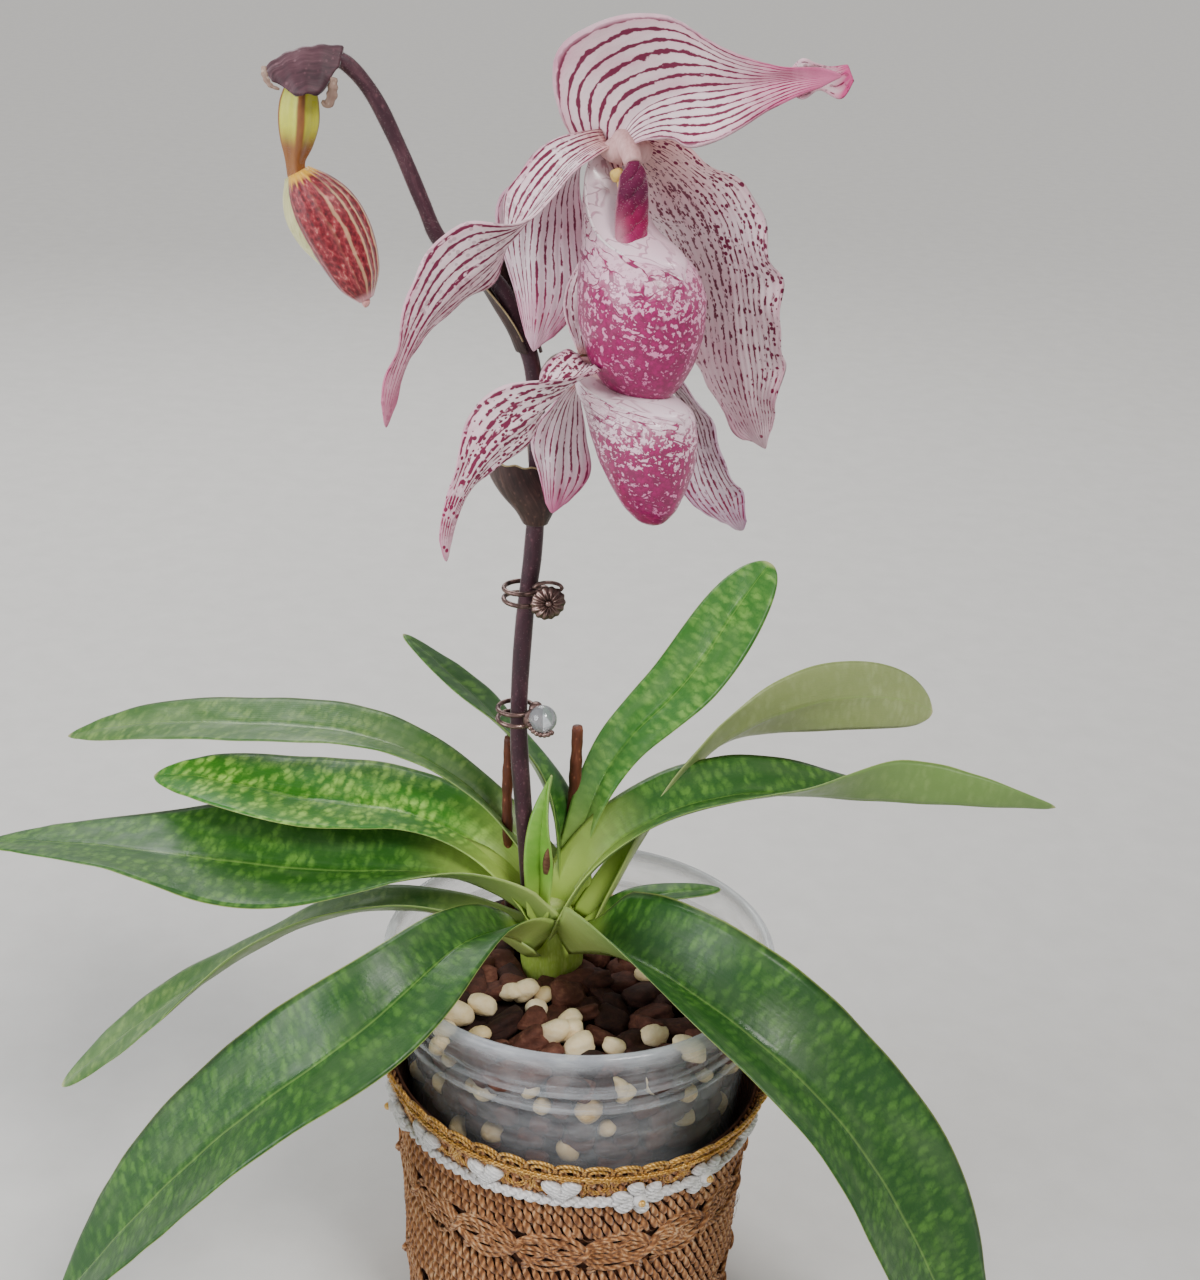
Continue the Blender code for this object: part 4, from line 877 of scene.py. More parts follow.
SEEN_STONES = [(-17.9, -7.6), (-25.2, -13.7), (-31.1, -17.7), (-5.9, -24.7), (-1.7, -18.9),
               (0.9, -29.8), (10.1, -29.2), (20.4, -23.7), (18.9, 40.6), (39.5, 20.6),
               (36.6, 23.6), (-38.0, 21.6), (-40.5, 17.5), (29.3, -29.6), (8.5, 38.0)]
PAIRED_STONES = (0, 3, 9)
bark, stones = Pile(), Pile()
for number, (x, y) in enumerate(SEEN_STONES):
    for twin in range(2 if number in PAIRED_STONES else 1):
        size = dice.uniform(2.6, 3.9) * np.array([1.2, 0.9, 0.8])
        lump(stones, (x + 3.8 * twin, y + 1.2 * twin, 109.4 + dice.uniform(-0.4, 0.8)), size,
             dice.uniform(-0.6, 0.6, 3), 2.6, 0.09, 0.75)
taken = list(SEEN_STONES)
TRIES, GAP = 1500, 5.4
for _ in range(TRIES):
    radius, angle = 44.6 * math.sqrt(dice.uniform()), dice.uniform(0, TURN)
    x, y = radius * math.cos(angle), radius * math.sin(angle)
    if math.dist((x, y), CROWN_AT) < 9 or min(math.dist((x, y), other) for other in taken) < GAP:
        continue
    taken.append((x, y))
    if dice.uniform() < 0.12:
        lump(stones, (x, y, 108.6 + dice.uniform(-0.8, 0.8)),
             dice.uniform(2, 3.2) * np.array([1.1, 0.95, 0.8]), dice.uniform(-0.6, 0.6, 3),
             2.2, 0.05)
    else:
        lump(bark, (x, y, 106.6 + dice.uniform(-1.2, 1.5)),
             dice.uniform((4.0, 2.8, 1.7), (6.4, 4.4, 3.0)),
             (*dice.uniform(-0.55, 0.55, 2), dice.uniform(0, 3.14)), 5.0, 0.13)
# The chips and stones that show through the pot's side
SIDE_CHIPS = 44           # in each row
for z in np.arange(82, 106, 5.9):
    for k in range(SIDE_CHIPS):
        angle = TURN * (k + dice.uniform(0.1, 0.9)) / SIDE_CHIPS
        r = 36 + 6.4 * (z - 9) / 81
        place = (r * math.cos(angle), r * math.sin(angle), z + dice.uniform(-1.5, 1.5))
        if dice.uniform() < (0.34 if z > 92 else 0.10):
            lump(stones, place, dice.uniform(2.2, 3.6) * np.array([1.1, 0.9, 0.9]),
                 dice.uniform(-1, 1, 3), 2.3, 0.05)
        else:
            lump(bark, place, dice.uniform((1.5, 2.6, 2.0), (2.3, 4.4, 3.2)),
                 (*dice.uniform(-0.4, 0.4, 2), angle), 4.0, 0.05)
bark.make("bark_chips", bark_look, "bark_brown")
stones.make("pale_stones", stone_look, "bark_brown")

CROWN = [(0, 128), (3.5, 127.6), (6.2, 124), (7.4, 119), (8.0, 114), (7.9, 109.5),
         (7.2, 105), (6.4, 97), (0, 95.5)]


def old_sheaths(grid, a, z):
    """The sheaths of old leaf bases round the crown."""
    swell = 1 + 0.09 * np.cos(2 * a + 0.5) + 0.05 * np.cos(5 * a + z * 0.12)
    return grid * np.stack([swell, swell, np.ones_like(swell)], -1)


turned("crown_sheaths", "crown", "crown_green", soften(CROWN, 0.8, 2), 64,
       leaf_look("crown_green", "9cb74a", "bfd274", "c2d184", 2.2, 0.7, 0.1, 0.1), old_sheaths,
       CROWN_AT)
withered = Pile()
path, radius = tube_path([(-9.2, 4.6, 139.5, 1.3), (-9.3, 4.2, 142.6, 1.5),
                          (-9.4, 4.0, 145.6, 1.0), (-9.2, 3.9, 147.6, 0.3)], 20)
withered.tube(path, radius, 10, flat=0.5)
withered.make("crown_dry_tip", bulk_look("dry_tip", [(0, "2e1c14"), (0.6, "5b3a28"),
                                                     (1, "8d6a4c")], 0.8, 300, 0.5), "bark_brown")

# The knitted cover


def cover_radius(z):
    z = np.asarray(z, float)
    return 44.3 + 3.6 * np.minimum(z / 78, 1) + 4.2 * (np.maximum(z - 72, 0) / 20) ** 1.6


def drape(angle, z):
    """How far the cover's edge sinks on the side away from its high point."""
    return -3.4 * (1 - np.cos(angle - math.radians(170))) * (np.maximum(z - 45, 0) / 47) ** 2


def wrap(along, z, lift):
    """A point on the cover, from the way round it, a height and a distance off its surface."""
    a, z, lift = np.broadcast_arrays(np.asarray(along, float) / COVER_R, z, lift)
    r = cover_radius(z) + lift
    return np.stack([r * np.cos(a), r * np.sin(a), z + drape(a, z)], -1)


def yarn(pile, path, radius, sides, seed):
    """A strand that lies on the cover."""
    pile.tube(path, radius, sides, unit(path * [1, 1, 0]), seed)


def steps(count):
    """Even places from 0 to 1."""
    return np.linspace(0, 1, count)


def let_sag(grid, a, z):
    grid[..., 2] += drape(a, z)
    return grid


jute = yarn_look("jute_yarn", "5e3720", "b47b4c", "e4c094", 40.0, 0.4, 0.85, 0.0, 0.15)
# The sleeve under the stitches is dark brown: painted shade for the gaps and holes between the
# stitches.
jute_painted_shade = yarn_look("jute_painted_shade", "2a1710", "4d2c1c", "6f452d", 40.0, 0.5, 0.9, 0.0, 0.0)
gold_thread = yarn_look("gold_thread", "8a5c24", "d49f49", "ffe09a", 90.0, 0.15, 0.36, 0.65, 0.1)
white_thread = yarn_look("white_thread", "c8c6c6", "eceae9", "ffffff", 70.0, 0.35, 0.8)

sleeve_line = [(0, 2.4), (41.6, 2.4), (42.2, 3.4)]
sleeve_line += [(cover_radius(z) - 1.6, z) for z in np.linspace(6, 90.4, 58)]
sleeve_line += [(cover_radius(z) - 0.7, z) for z in np.linspace(90.6, 1.2, 60)]
sleeve_line += [(42.6, 0.1), (0, 0)]
sleeve = turned("cover_sleeve", "knitted_cover", "cover_yarn", sleeve_line, 160, jute_painted_shade,
                let_sag)

BANDS = (58.0, 22.0)      # the heights of the two bands of crossed yarns
STITCHES = 116
KNOTS = 17
knit = Pile()
s = steps(7)
for z0 in np.arange(87.0, 4.2, -4.35):
    if min(abs(z0 - band) for band in BANDS) < 7.0:
        continue
    for k in range(STITCHES):
        jog = dice.normal(0, 0.12, 3)
        path = wrap(ROUND * k / STITCHES + (s - 0.5) * 2.9 + jog[0], z0 + (0.5 - s) * 6.4 + jog[1],
                    -0.75 + 1.15 * np.sin(math.pi * s) + 0.1 * jog[2])
        yarn(knit, path, 0.94 * np.sqrt(np.sin(math.pi * (0.07 + 0.86 * s))), 6, k * 0.37)
gap = ROUND / KNOTS
for band in BANDS:
    for k in range(KNOTS):
        x0 = gap * k
        s = steps(13)
        fan = np.sin(math.pi * s) ** 0.9
        for strand in range(-3, 4):
            z = (band + strand * (0.4 + dice.uniform(1.5, 2.1) * fan)
                 + 0.5 * np.sin(dice.uniform(4, 9) * s + strand + k))
            path = wrap(x0 + gap * (s * 1.04 - 0.02), z, 1.1 - 0.5 * fan + dice.uniform(-0.3, 0.3))
            yarn(knit, path, dice.uniform(0.5, 0.72), 6, strand * 0.21 + k)
        s = steps(9)
        swell = np.sin(math.pi * s)
        tie = wrap(x0 + 1.3 * np.cos(math.pi * s), band + 4.2 * (0.5 - s), 1.5 + 0.7 * swell)
        yarn(knit, tie, 0.8, 6, k * 0.5)
        for cross in (-1, 1):
            for lane in (-0.9, 0.9):
                path = wrap(x0 + gap * (0.08 + 0.84 * s),
                            band + cross * 14.8 * (s - 0.5) + lane * 0.8, 0.5 * swell + 0.1 * lane)
                yarn(knit, path, 0.62, 6, k * 0.8 + lane)
knit_piece = knit.make("cover_stitches", jute, "cover_yarn")
fuzz = Pile()
s = steps(5)
for _ in range(520):
    x0, z0 = dice.uniform(0, ROUND), dice.uniform(6, 90)
    reach, tilt = dice.uniform(2, 5), dice.uniform(0, 6.28)
    fuzz.tube(wrap(x0 + reach * s * math.cos(tilt), z0 + reach * s * math.sin(tilt),
                   0.7 + dice.uniform(0.5, 1.6) * np.sin(math.pi * s * 0.8)), 0.06, 3)
fuzz_piece = fuzz.make("cover_fuzz", jute, "cover_yarn")

# Gold lace: scallops, a braid, and open loops that hang to the white cord
SCALLOPS = 46
gold = Pile()
for k in range(SCALLOPS):
    middle = ROUND * (k + 0.5) / SCALLOPS
    angle = np.linspace(math.radians(-25), math.radians(205), 12)
    for size in (3.4, 2.2):
        path = wrap(middle + size * np.cos(angle), 89.8 + 0.9 * size + size * np.sin(angle),
                    0.9 + 0.3 * np.sin(angle))
        yarn(gold, path, 0.48, 6, k * 0.1)
s = steps(901)
for strand in range(4):
    twist = s * TURN * 84 + strand * math.pi / 2
    path = wrap(s * ROUND, 89.7 + 0.62 * np.sin(twist) - 0.3 * (strand % 2),
                1.25 + 0.42 * np.cos(twist))
    yarn(gold, path, 0.40, 5, strand * 0.2)
s, angle = steps(5), steps(19) * TURN
for k in range(SCALLOPS):
    middle = ROUND * (k + 0.5) / SCALLOPS
    for size in (1.0, 0.72):
        path = wrap(middle + 3.1 * size * np.cos(angle), 85.2 + 3.4 * size * np.sin(angle), 0.9)
        yarn(gold, path, 0.36, 5, k * 0.13)
    for lean in (-2.6, -0.9, 0.9, 2.6):
        path = wrap(ROUND * (k + 1) / SCALLOPS + lean * (1 - s), 88.9 - 9.0 * s, 0.75)
        yarn(gold, path, 0.32, 5, k * 0.17)

# White lace: a twisted cord that carries flowers and hearts
lace = Pile()
s = steps(721)
for strand in range(2):
    twist = s * TURN * 52 + strand * math.pi
    yarn(lace, wrap(s * ROUND, 78.6 + 0.75 * np.sin(twist), 1.35 + 0.6 * np.cos(twist)), 0.95, 7,
         strand * 0.5)


def medal(pile, place, outline, height, count=12):
    """A puffy closed shape: outline holds its edge, and height its thickness from 0 to 1 out."""
    sides = len(outline)
    share = np.linspace(0, 1, count + 1)[1:]
    flat = share[:, None, None] * outline[None]
    phi = np.arctan2(outline[:, 1], outline[:, 0])
    top = place(flat[..., 0], flat[..., 1], height(share[:, None], phi[None]))
    blank = np.zeros((1, 1))
    ends = [place(blank[0], blank[0], height(blank, blank)[0]), place(*np.zeros((3, 1)))]
    last = (count - 1) * sides
    faces = [(j, (j + 1) % sides, last + sides) for j in range(sides)]
    faces += grid_faces(count, sides, True)
    faces += [(last + (j + 1) % sides, last + j, last + sides + 1) for j in range(sides)]
    where = np.concatenate([flat.reshape(-1, 2) / MAP_MM, np.zeros((2, 2))])
    pile.add(np.concatenate([top.reshape(-1, 3), *ends]), faces, where * 20, where)


def on_cover(x0, z0):
    return lambda x, y, h: wrap(x0 + x, z0 + y, h)


def spun(points, angle):
    """Flat points turned about their middle."""
    x, y = points
    c, s = math.cos(angle), math.sin(angle)
    return np.stack([x * c - y * s, x * s + y * c], -1)


def loaf(rho, phi):
    """The swell of one petal of a lace flower."""
    return (1.4 + 1.9 * np.sqrt(np.clip(1 - rho ** 3, 0, 1))
            * (0.75 + 0.25 * np.clip(rho / 0.4, 0, 1)) + 0.14 * np.sin(rho * 19))


def puff(rho, phi):
    """The swell of a heart, with a crease at its top."""
    crease = 1 - 0.45 * np.exp(-((phi - math.pi / 2) / 0.35) ** 2) * rho
    return 1.3 + 2.0 * np.sqrt(np.clip(1 - rho ** 3, 0, 1)) * crease + 0.16 * np.sin(rho * 24)


MOTIFS = "FFHHHFFHHHFFHHHF"
heart = np.linspace(0, TURN, 60, endpoint=False)
heart = 0.32 * np.array([16 * np.sin(heart) ** 3, 13 * np.cos(heart) - 5 * np.cos(2 * heart)
                         - 2 * np.cos(3 * heart) - np.cos(4 * heart) + 2])[:, ::-1]
oval = np.linspace(0, TURN, 26, endpoint=False)
for number, kind in enumerate(MOTIFS):
    x0 = math.radians(178.0 + 22.5 * number) * COVER_R
    lean = dice.uniform(-0.5, 0.5)
    if kind == "H":
        medal(lace, on_cover(x0, 83.2), spun(heart, -lean * 0.3), puff)
        continue
    z0 = 79.4
    for k in range(6):
        b = lean + k * math.pi / 3 + dice.uniform(-0.1, 0.1)
        long, wide = dice.uniform(2.9, 3.4), dice.uniform(1.9, 2.3)
        edge = spun((long * np.cos(oval), wide * np.sin(oval) * (1 + 0.25 * np.cos(oval))), b)
        medal(lace, on_cover(x0 + 4.3 * math.cos(b), z0 + 4.3 * math.sin(b)), edge, loaf, 9)
    lump(lace, wrap(x0, z0, 2.6), (1.9, 1.9, 1.9), rough=0.05)
    lump(gold, wrap(x0, z0, 4.3), (1.0, 1.0, 1.0))
gold_piece = gold.make("gold_edging", gold_thread, "lace_gold", "gold_lace")
lace_piece = lace.make("white_edging", white_thread, "lace_white", "white_lace")

# Stems, stalks and bracts


def spikes(pile, at, way, length, radius):
    """Fine hairs: slim three-sided cones."""
    guide = np.where(np.abs(way[:, 2:3]) < 0.9, [[0.0, 0, 1]], [[0.0, 1, 0]])
    side = unit(np.cross(way, guide))
    foot = rings(at, np.full((len(at), 1), radius), side, np.cross(way, side),
                 np.radians([0, 120, 240]))
    tip = at + way * length[:, None]
    faces = [(4 * i + a, 4 * i + b, 4 * i + c) for i in range(len(at))
             for a, b, c in ((0, 1, 3), (1, 2, 3), (2, 0, 3), (0, 2, 1))]
    pile.add(np.concatenate([foot, tip[:, None]], 1), faces)


def fur(pile, points, count, length):
    """Hairs that stand out from a stem."""
    points = np.array(points, float)
    t = dice.uniform(0.01, 0.99, count)
    path = flow(points, t)
    way = unit((flow(points, np.minimum(t + 0.004, 1))
                - flow(points, np.maximum(t - 0.004, 0)))[:, :3])
    out = unit(np.cross(way, dice.normal(size=(count, 3))))
    spikes(pile, path[:, :3] + out * path[:, 3:4] * 0.96,
           unit(out + way * dice.normal(0, 0.35, (count, 1))),
           length * dice.uniform(0.5, 1.2, count), 0.026)


STEM = [(-13, 13, 118, 2.5), (-16.5, 13, 153, 2.4), (-18.4, 13, 180, 2.3),
        (-17.6, 13, 208, 2.3), (-15.8, 13, 228, 2.3), (-15.2, 13.5, 250, 2.2),
        (-16.9, 14, 274, 2.1), (-21, 14, 285, 2.1), (-25.6, 13, 295, 2.0),
        (-33, 12, 300.5, 1.9), (-39.4, 11, 305.5, 1.9), (-43.2, 10, 314, 1.8),
        (-48.7, 9, 327, 1.8), (-54.3, 8, 338, 1.8), (-60, 6.5, 344.6, 1.8),
        (-64.6, 5.8, 345.2, 1.8), (-68.2, 5.2, 342.4, 2.0)]
UPPER_STALK = [(-21.5, 17, 288, 1.7), (-19, 21, 299, 1.9), (-15, 19, 313, 2.1),
               (-8, 11, 326, 2.4), (1, -3.5, 331.6, 2.8)]
LOWER_STALK = [(-15.5, 16.6, 247, 1.7), (-16.5, 20, 256, 1.9), (-15.5, 18, 267, 2.1),
               (-11, 10, 277, 2.4), (-4.6, -2, 280, 2.8)]
stem_dark = stem_look("stem_purple", "22121a", "43242f", "704a52")
ovary_brown = stem_look("ovary_brown", "4c3426", "7d5a3a", "a5855a")
hairs = Pile()
for node, name, points, rows, hair_count, look, slot in (
        ("flower_stem", "stem_skin", STEM, 150, 3600, stem_dark, "stem_purple"),
        ("upper_ovary", "upper_ovary_skin", UPPER_STALK, 50, 800, ovary_brown, "ovary_green"),
        ("lower_ovary", "lower_ovary_skin", LOWER_STALK, 50, 800, ovary_brown, "ovary_green")):
    body = Pile()
    path, radius = tube_path(points, rows)
    body.tube(path, radius * (1 + 0.03 * np.sin(np.arange(rows) * 0.55)), 20, (0.0, -1.0, 0.05))
    body.make(name, look, slot, node)
    fur(hairs, points, hair_count, 0.65)

old_look = stem_look("old_stem_brown", "2c1812", "6a3826", "a2664a", 0.1)
s = steps(60)
for node, low, high, radius in (("old_stem_right", (-4.5, 25, 104), (-3.3, 26, 173), 1.6),
                                ("old_stem_left", (-20, 20, 104), (-21.6, 22, 171), 1.4)):
    body = Pile()
    path = np.array(low) * (1 - s[:, None]) + np.array(high) * s[:, None]
    path[:, 0] += 0.35 * np.sin(s * 7 + radius * 9)
    swell = radius * (1.02 + 0.07 * np.sin(s * 31 + radius) + 0.05 * np.sin(s * 83))
    swell[-2:] *= (0.92, 0.75)
    body.tube(path, swell, 14)
    body.make(node + "_bark", old_look, "old_stem_brown", node)


def sheath(node, centres, radii, openings, facing, look, rim_look):
    """A bract that wraps a stem like an open roll, with a fine pale edge."""
    rows, wide = 40, 45
    t = np.linspace(0, 1, rows)
    v = t[:, None]
    facing = math.radians(facing + 180)
    centre, radius = flow(centres, t), flow(radii, t)[:, None]
    span = np.radians(360 - flow(openings, t))[:, None]
    a = facing - span / 2 + span * np.linspace(0, 1, wide)[None]
    r = (radius + 0.22 * np.sin(5 * a + v * 6) * v
         + np.linspace(-1, 1, wide)[None] ** 8 * 0.7 * v)
    lift = 1.6 * np.cos(a - facing) * v ** 3 + 0.25 * np.sin(11 * a) * v ** 4
    grid = centre[:, None] + np.stack([r * np.cos(a), r * np.sin(a), lift], -1)
    inner = grid - unit((grid - centre[:, None]) * [1, 1, 0.2]) * 0.35
    points, faces = two_skins(grid, inner, grid_faces(rows, wide))
    index = np.arange(rows * wide).reshape(rows, wide)
    loop = [*index[0], *index[1:, -1], *index[-1, -2::-1], *index[-2:0:-1, 0]]
    faces += [(k, k + index.size, n + index.size, n) for k, n in zip(loop, loop[1:] + loop[:1])]
    share = np.tile(pairs(np.linspace(0, 1, wide)[None], v), (2, 1))
    piece(node + "_skin", points, faces, look, "bract_brown", node, share, share * [0.24, 0.2])
    rim = Pile()
    path = np.concatenate([grid[6:, 0], grid[-1, 1:-1], grid[6:, -1][::-1]])
    rim.tube(path, 0.22, 6, unit(path - path.mean(0)))
    rim.make(node + "_edge", rim_look, "bract_brown")


bract_look = stem_look("bract_brown", "1f1413", "3d2825", "6a4c42", 0.3)
edge_look = downy_look("bract_edge", "6f5b3e", "b8a67c", 0.5, 160, 0.2)
sheath("upper_bract", [(-18, 14.2, 279), (-20, 14.4, 284), (-22.6, 14.8, 289.5),
                       (-25.2, 15, 295), (-27, 15, 299)], (3.3, 3.6, 4.4, 5.2, 5.6),
       (60, 70, 90, 130, 170), -60, bract_look, edge_look)
sheath("lower_bract", [(-15.4, 13.4, 235.5), (-15.8, 13.8, 239), (-17.4, 14.4, 243),
                       (-19.2, 14.8, 247), (-20.4, 15, 250.5)], (3.2, 5, 7, 7.8, 7.6),
       (40, 60, 90, 120, 150), 60, bract_look, edge_look)

# The bract over the bud, like a small roof with curled margins
blade("bud_bract_skin", "bud_bract", "bract_brown", (-60.2, 6.4, 347.8), 19.4,
      (184, 182, 180, 180, 180), (12, -4, -16, -30, -48), (0, 0), plain_side((5.5, 11, 13, 11, 5)),
      plain_side((4.4, 8.9, 10.4, 8.4, 3.4)), (-62, -55, -52, -50, -40), 26, 0.6,
      [stem_look("hood_purple", "2c1820", "54343d", "7f5d64", 0.4),
       stem_look("hood_under", "5d4a3c", "8b7357", "b59f7d")],
      lambda t, u, w: 0.8 * np.abs(u) ** 6 * (0.4 + np.sin(t * 11 + 2 * u))
      + 0.12 * np.sin(t * 30) + 0.25 * np.sin(u * 9) * np.sin(t * 5), np.linspace(0, 1, 50))
curls = Pile()
for line in (((-61.8, 1.8, 341.8, 0.7), (-62.2, 2.2, 340.0, 1.1), (-62.6, 2.8, 337.8, 1.2),
              (-63.6, 3.4, 335.8, 0.9), (-65.0, 3.8, 336.4, 0.5)),
             ((-77.4, 2.2, 343.6, 0.5), (-77.0, 1.2, 341.6, 0.8), (-75.8, 0.6, 339.8, 0.9),
              (-73.8, 0.6, 339.0, 0.5))):
    path, radius = tube_path(line, 24)
    curls.tube(path, radius * (1 + 0.12 * np.sin(np.arange(24) * 1.3)), 12, flat=0.55)
curls.make("bud_bract_curls", stem_look("hood_curl", "6d5248", "a08476", "cdb7a4", 0.2),
           "bract_brown")

# The bud on its ribbed ovary
BUD_STALK = np.array([(-67.0, 5.4, 343.6, 1.9), (-69.4, 5.1, 340.4, 3.0), (-70.2, 5, 336, 4.0),
                      (-70.5, 5, 331.5, 4.2), (-71.0, 5, 327, 3.4), (-71.5, 5, 323, 2.1),
                      (-71.3, 5, 319.6, 1.9)])
RIB_TURN = 1.05           # how far the ovary's four ribs are turned, in radians
look = Look("ovary_ribs", Roughness=0.42, Specular_IOR_Level=0.4, Subsurface_Weight=0.15,
            Subsurface_Radius=(0.002, 0.002, 0.0005))
around = look.split(look.map("share"))[0]
ridge = look.calc("COSINE", around * (8 * math.pi) + -RIB_TURN)
grain = look.noise(look.map("metric"), (80, 20, 1), 3, 0.6)
fade = look.split(look.map("metric"))[1].level(0.19, 0.13)
look.paint(look.mix(ridge.level(0.88, 0.45) * fade, look.mix(grain, "6e4330", "a97038"),
                    look.mix(grain, "a9b02a", "dcdb4e")))
look.relief(ridge + grain, 0.3, 0.4)
ROWS, SIDES = 70, 48
path, radius = tube_path(BUD_STALK, ROWS)
way = unit(np.gradient(path, axis=0))
side = unit(np.cross(way, [0.0, -1.0, 0.0]))
a = np.linspace(0, TURN, SIDES, endpoint=False)
down = run_lengths(path)[:, None]
ribbed = radius[:, None] * (1 + 0.10 * np.cos(4 * a - RIB_TURN)[None]
                            * np.clip((down - 3) / 5, 0, 1))
body = Pile()
body.add(rings(path, ribbed, side, np.cross(side, way), a), capped_faces(ROWS, SIDES),
         pairs(a[None] / TURN, down / down[-1]), pairs(a[None] * 0.03, down / MAP_MM))
body.make("bud_ovary_skin", look.made, "ovary_green", "bud_ovary")
fur(hairs, BUD_STALK[1:], 600, 0.55)


def bud_body(pile, top, tip, halves, bow, shift, ribs, rows, cols):
    """A closed bud: rings along a bowed axis."""
    top, tip = np.array(top), np.array(tip)
    t = (1 - (1 - np.linspace(0, 1, rows)) ** 1.15)[:, None]
    side = np.array([0.0, 1.0, 0.0])
    across = np.cross(unit(tip - top), side)
    a = np.linspace(0, TURN, cols, endpoint=False)
    middle = top + (tip - top) * t + across * (bow * np.sin(math.pi * t)) + shift
    r = flow(halves, t[:, 0])[:, None] * (1 + ribs(t, a[None]))
    pile.add(rings(middle, r, np.tile(side, (rows, 1)), np.tile(across, (rows, 1)), a),
             capped_faces(rows, cols), pairs(a[None] / TURN, t), pairs(a[None] * 0.06, t * 0.32))


look = Look("bud_red", Roughness=0.40, Specular_IOR_Level=0.4, Subsurface_Weight=0.1,
            Subsurface_Radius=(0.003, 0.001, 0.001), Sheen_Weight=0.25)
around, down, _ = look.split(look.map("share"))
metric = look.map("metric")
bend = look.noise(metric, (24, 12, 1), 3, 0.6)
speck = look.cells(metric, (120, 75, 1))[0]
fleck = look.noise(metric, (130, 60, 1), 4, 0.7)
lines = look.calc("SINE", (around + (bend - 0.5) * 0.05) * (34 * math.pi))
on_ribs = lines.level(0.35, 0.95)
sideways = look.calc("SINE", around * TURN)
colour = look.ramp(fleck * 0.7 + speck * 0.35,
                   [(0.30, "400a14"), (0.5, "7a1422"), (0.62, "9c3039"), (0.80, "d99285")])
for tone, share in (
        ("e3c193", on_ribs * sideways.level(-0.05, 0.75) * down.level(0.02, 0.30) * 0.85),
        ("7b5a63", sideways.level(-0.80, -0.97)),
        ("dba62f", (down + on_ribs * -0.035).level(0.07, 0.025)),
        ("d79aa0", down.level(0.93, 0.99))):
    colour = colour.toward(tone, share)
look.paint(colour)
look.relief(lines * 0.25 + fleck, 0.4, 0.55)
body, back, tip = Pile(), Pile(), Pile()
bud_body(body, (-70.8, 4.4, 320.8), (-55.8, 4.4, 292.2),
         (2.6, 5.3, 6.9, 7.5, 7.5, 7.1, 6.3, 4.9, 2.0), 1.4, (0, 0, 0),
         lambda t, a: 0.045 * np.cos(5 * a) + 0.012 * np.sin(17 * a) * np.sin(math.pi * t), 60, 72)
body.make("bud_skin", look.made, "bud_red", "bud")
bud_body(back, (-72.2, 5.6, 319.6), (-57.2, 5.6, 292.6),
         (2.2, 5.0, 6.6, 7.0, 6.6, 5.4, 3.9, 2.2, 0.6), 0.2, (-0.2, 1.4, 0),
         lambda t, a: 0.03 * np.cos(4 * a), 50, 48)
back.make("bud_back_sepal", downy_look("bud_sepal", "a9a866", "e2dda8", 0.45, 110, 0.3),
          "bud_red")
s = steps(16)
tip.tube(np.stack([-56.6 + 1.6 * s - 1.4 * s ** 3, 4.0 - 0.5 * s,
                   293.4 - 3.0 * s + 0.5 * s ** 3], -1),
         1.25 * np.sqrt(np.sin(math.pi * (0.12 + 0.80 * s))), 12)
tip.make("bud_tip_curl", downy_look("bud_tip", "b5606c", "eab7ae", 0.4, 160, 0.3), "bud_red")

# Columns with their shields
look = Look("shield_magenta", Roughness=0.62, Specular_IOR_Level=0.3, Sheen_Weight=0.5,
            Sheen_Roughness=0.3, Subsurface_Weight=0.1, Subsurface_Radius=(0.003, 0.001, 0.0015))
across, along, _ = look.split(look.map("share"))
metric = look.map("metric")
wool = look.noise(metric, (120, 90, 1), 4, 0.7)
cloud = look.noise(metric, (22, 14, 1))
colour = look.ramp(along + (cloud - 0.5) * 0.3,
                   [(0.05, "6d0a40"), (0.3, "5c0638"), (0.55, "93004a"), (0.80, "b03070"),
                    (1, "dd9db8")])
pale = look.calc("MAXIMUM", across.level(0.42, 0.12) * along.level(0.35, 0.8) * 0.8,
                 abs(across - 0.5).level(0.40, 0.5, 0, 0.7))
look.paint(colour.toward("d8a0ae", pale).toward("d7839f", wool.level(0.55, 0.80, 0, 0.45)))
look.relief(wool, 0.5, 0.8)
shield_look = look.made
stub_look = downy_look("column_flesh", "c08c8a", "e6bfbd", 0.5, 140, 0.1)


def shield_side(half, widths):
    def width(t):
        foot = np.clip(np.sqrt(np.clip(t / 0.12, 0, 1)), 0.1, 1)
        return half * foot * flow(widths, t) * np.sqrt(np.clip((1 - t) / 0.20, 0.002, 1))
    return width


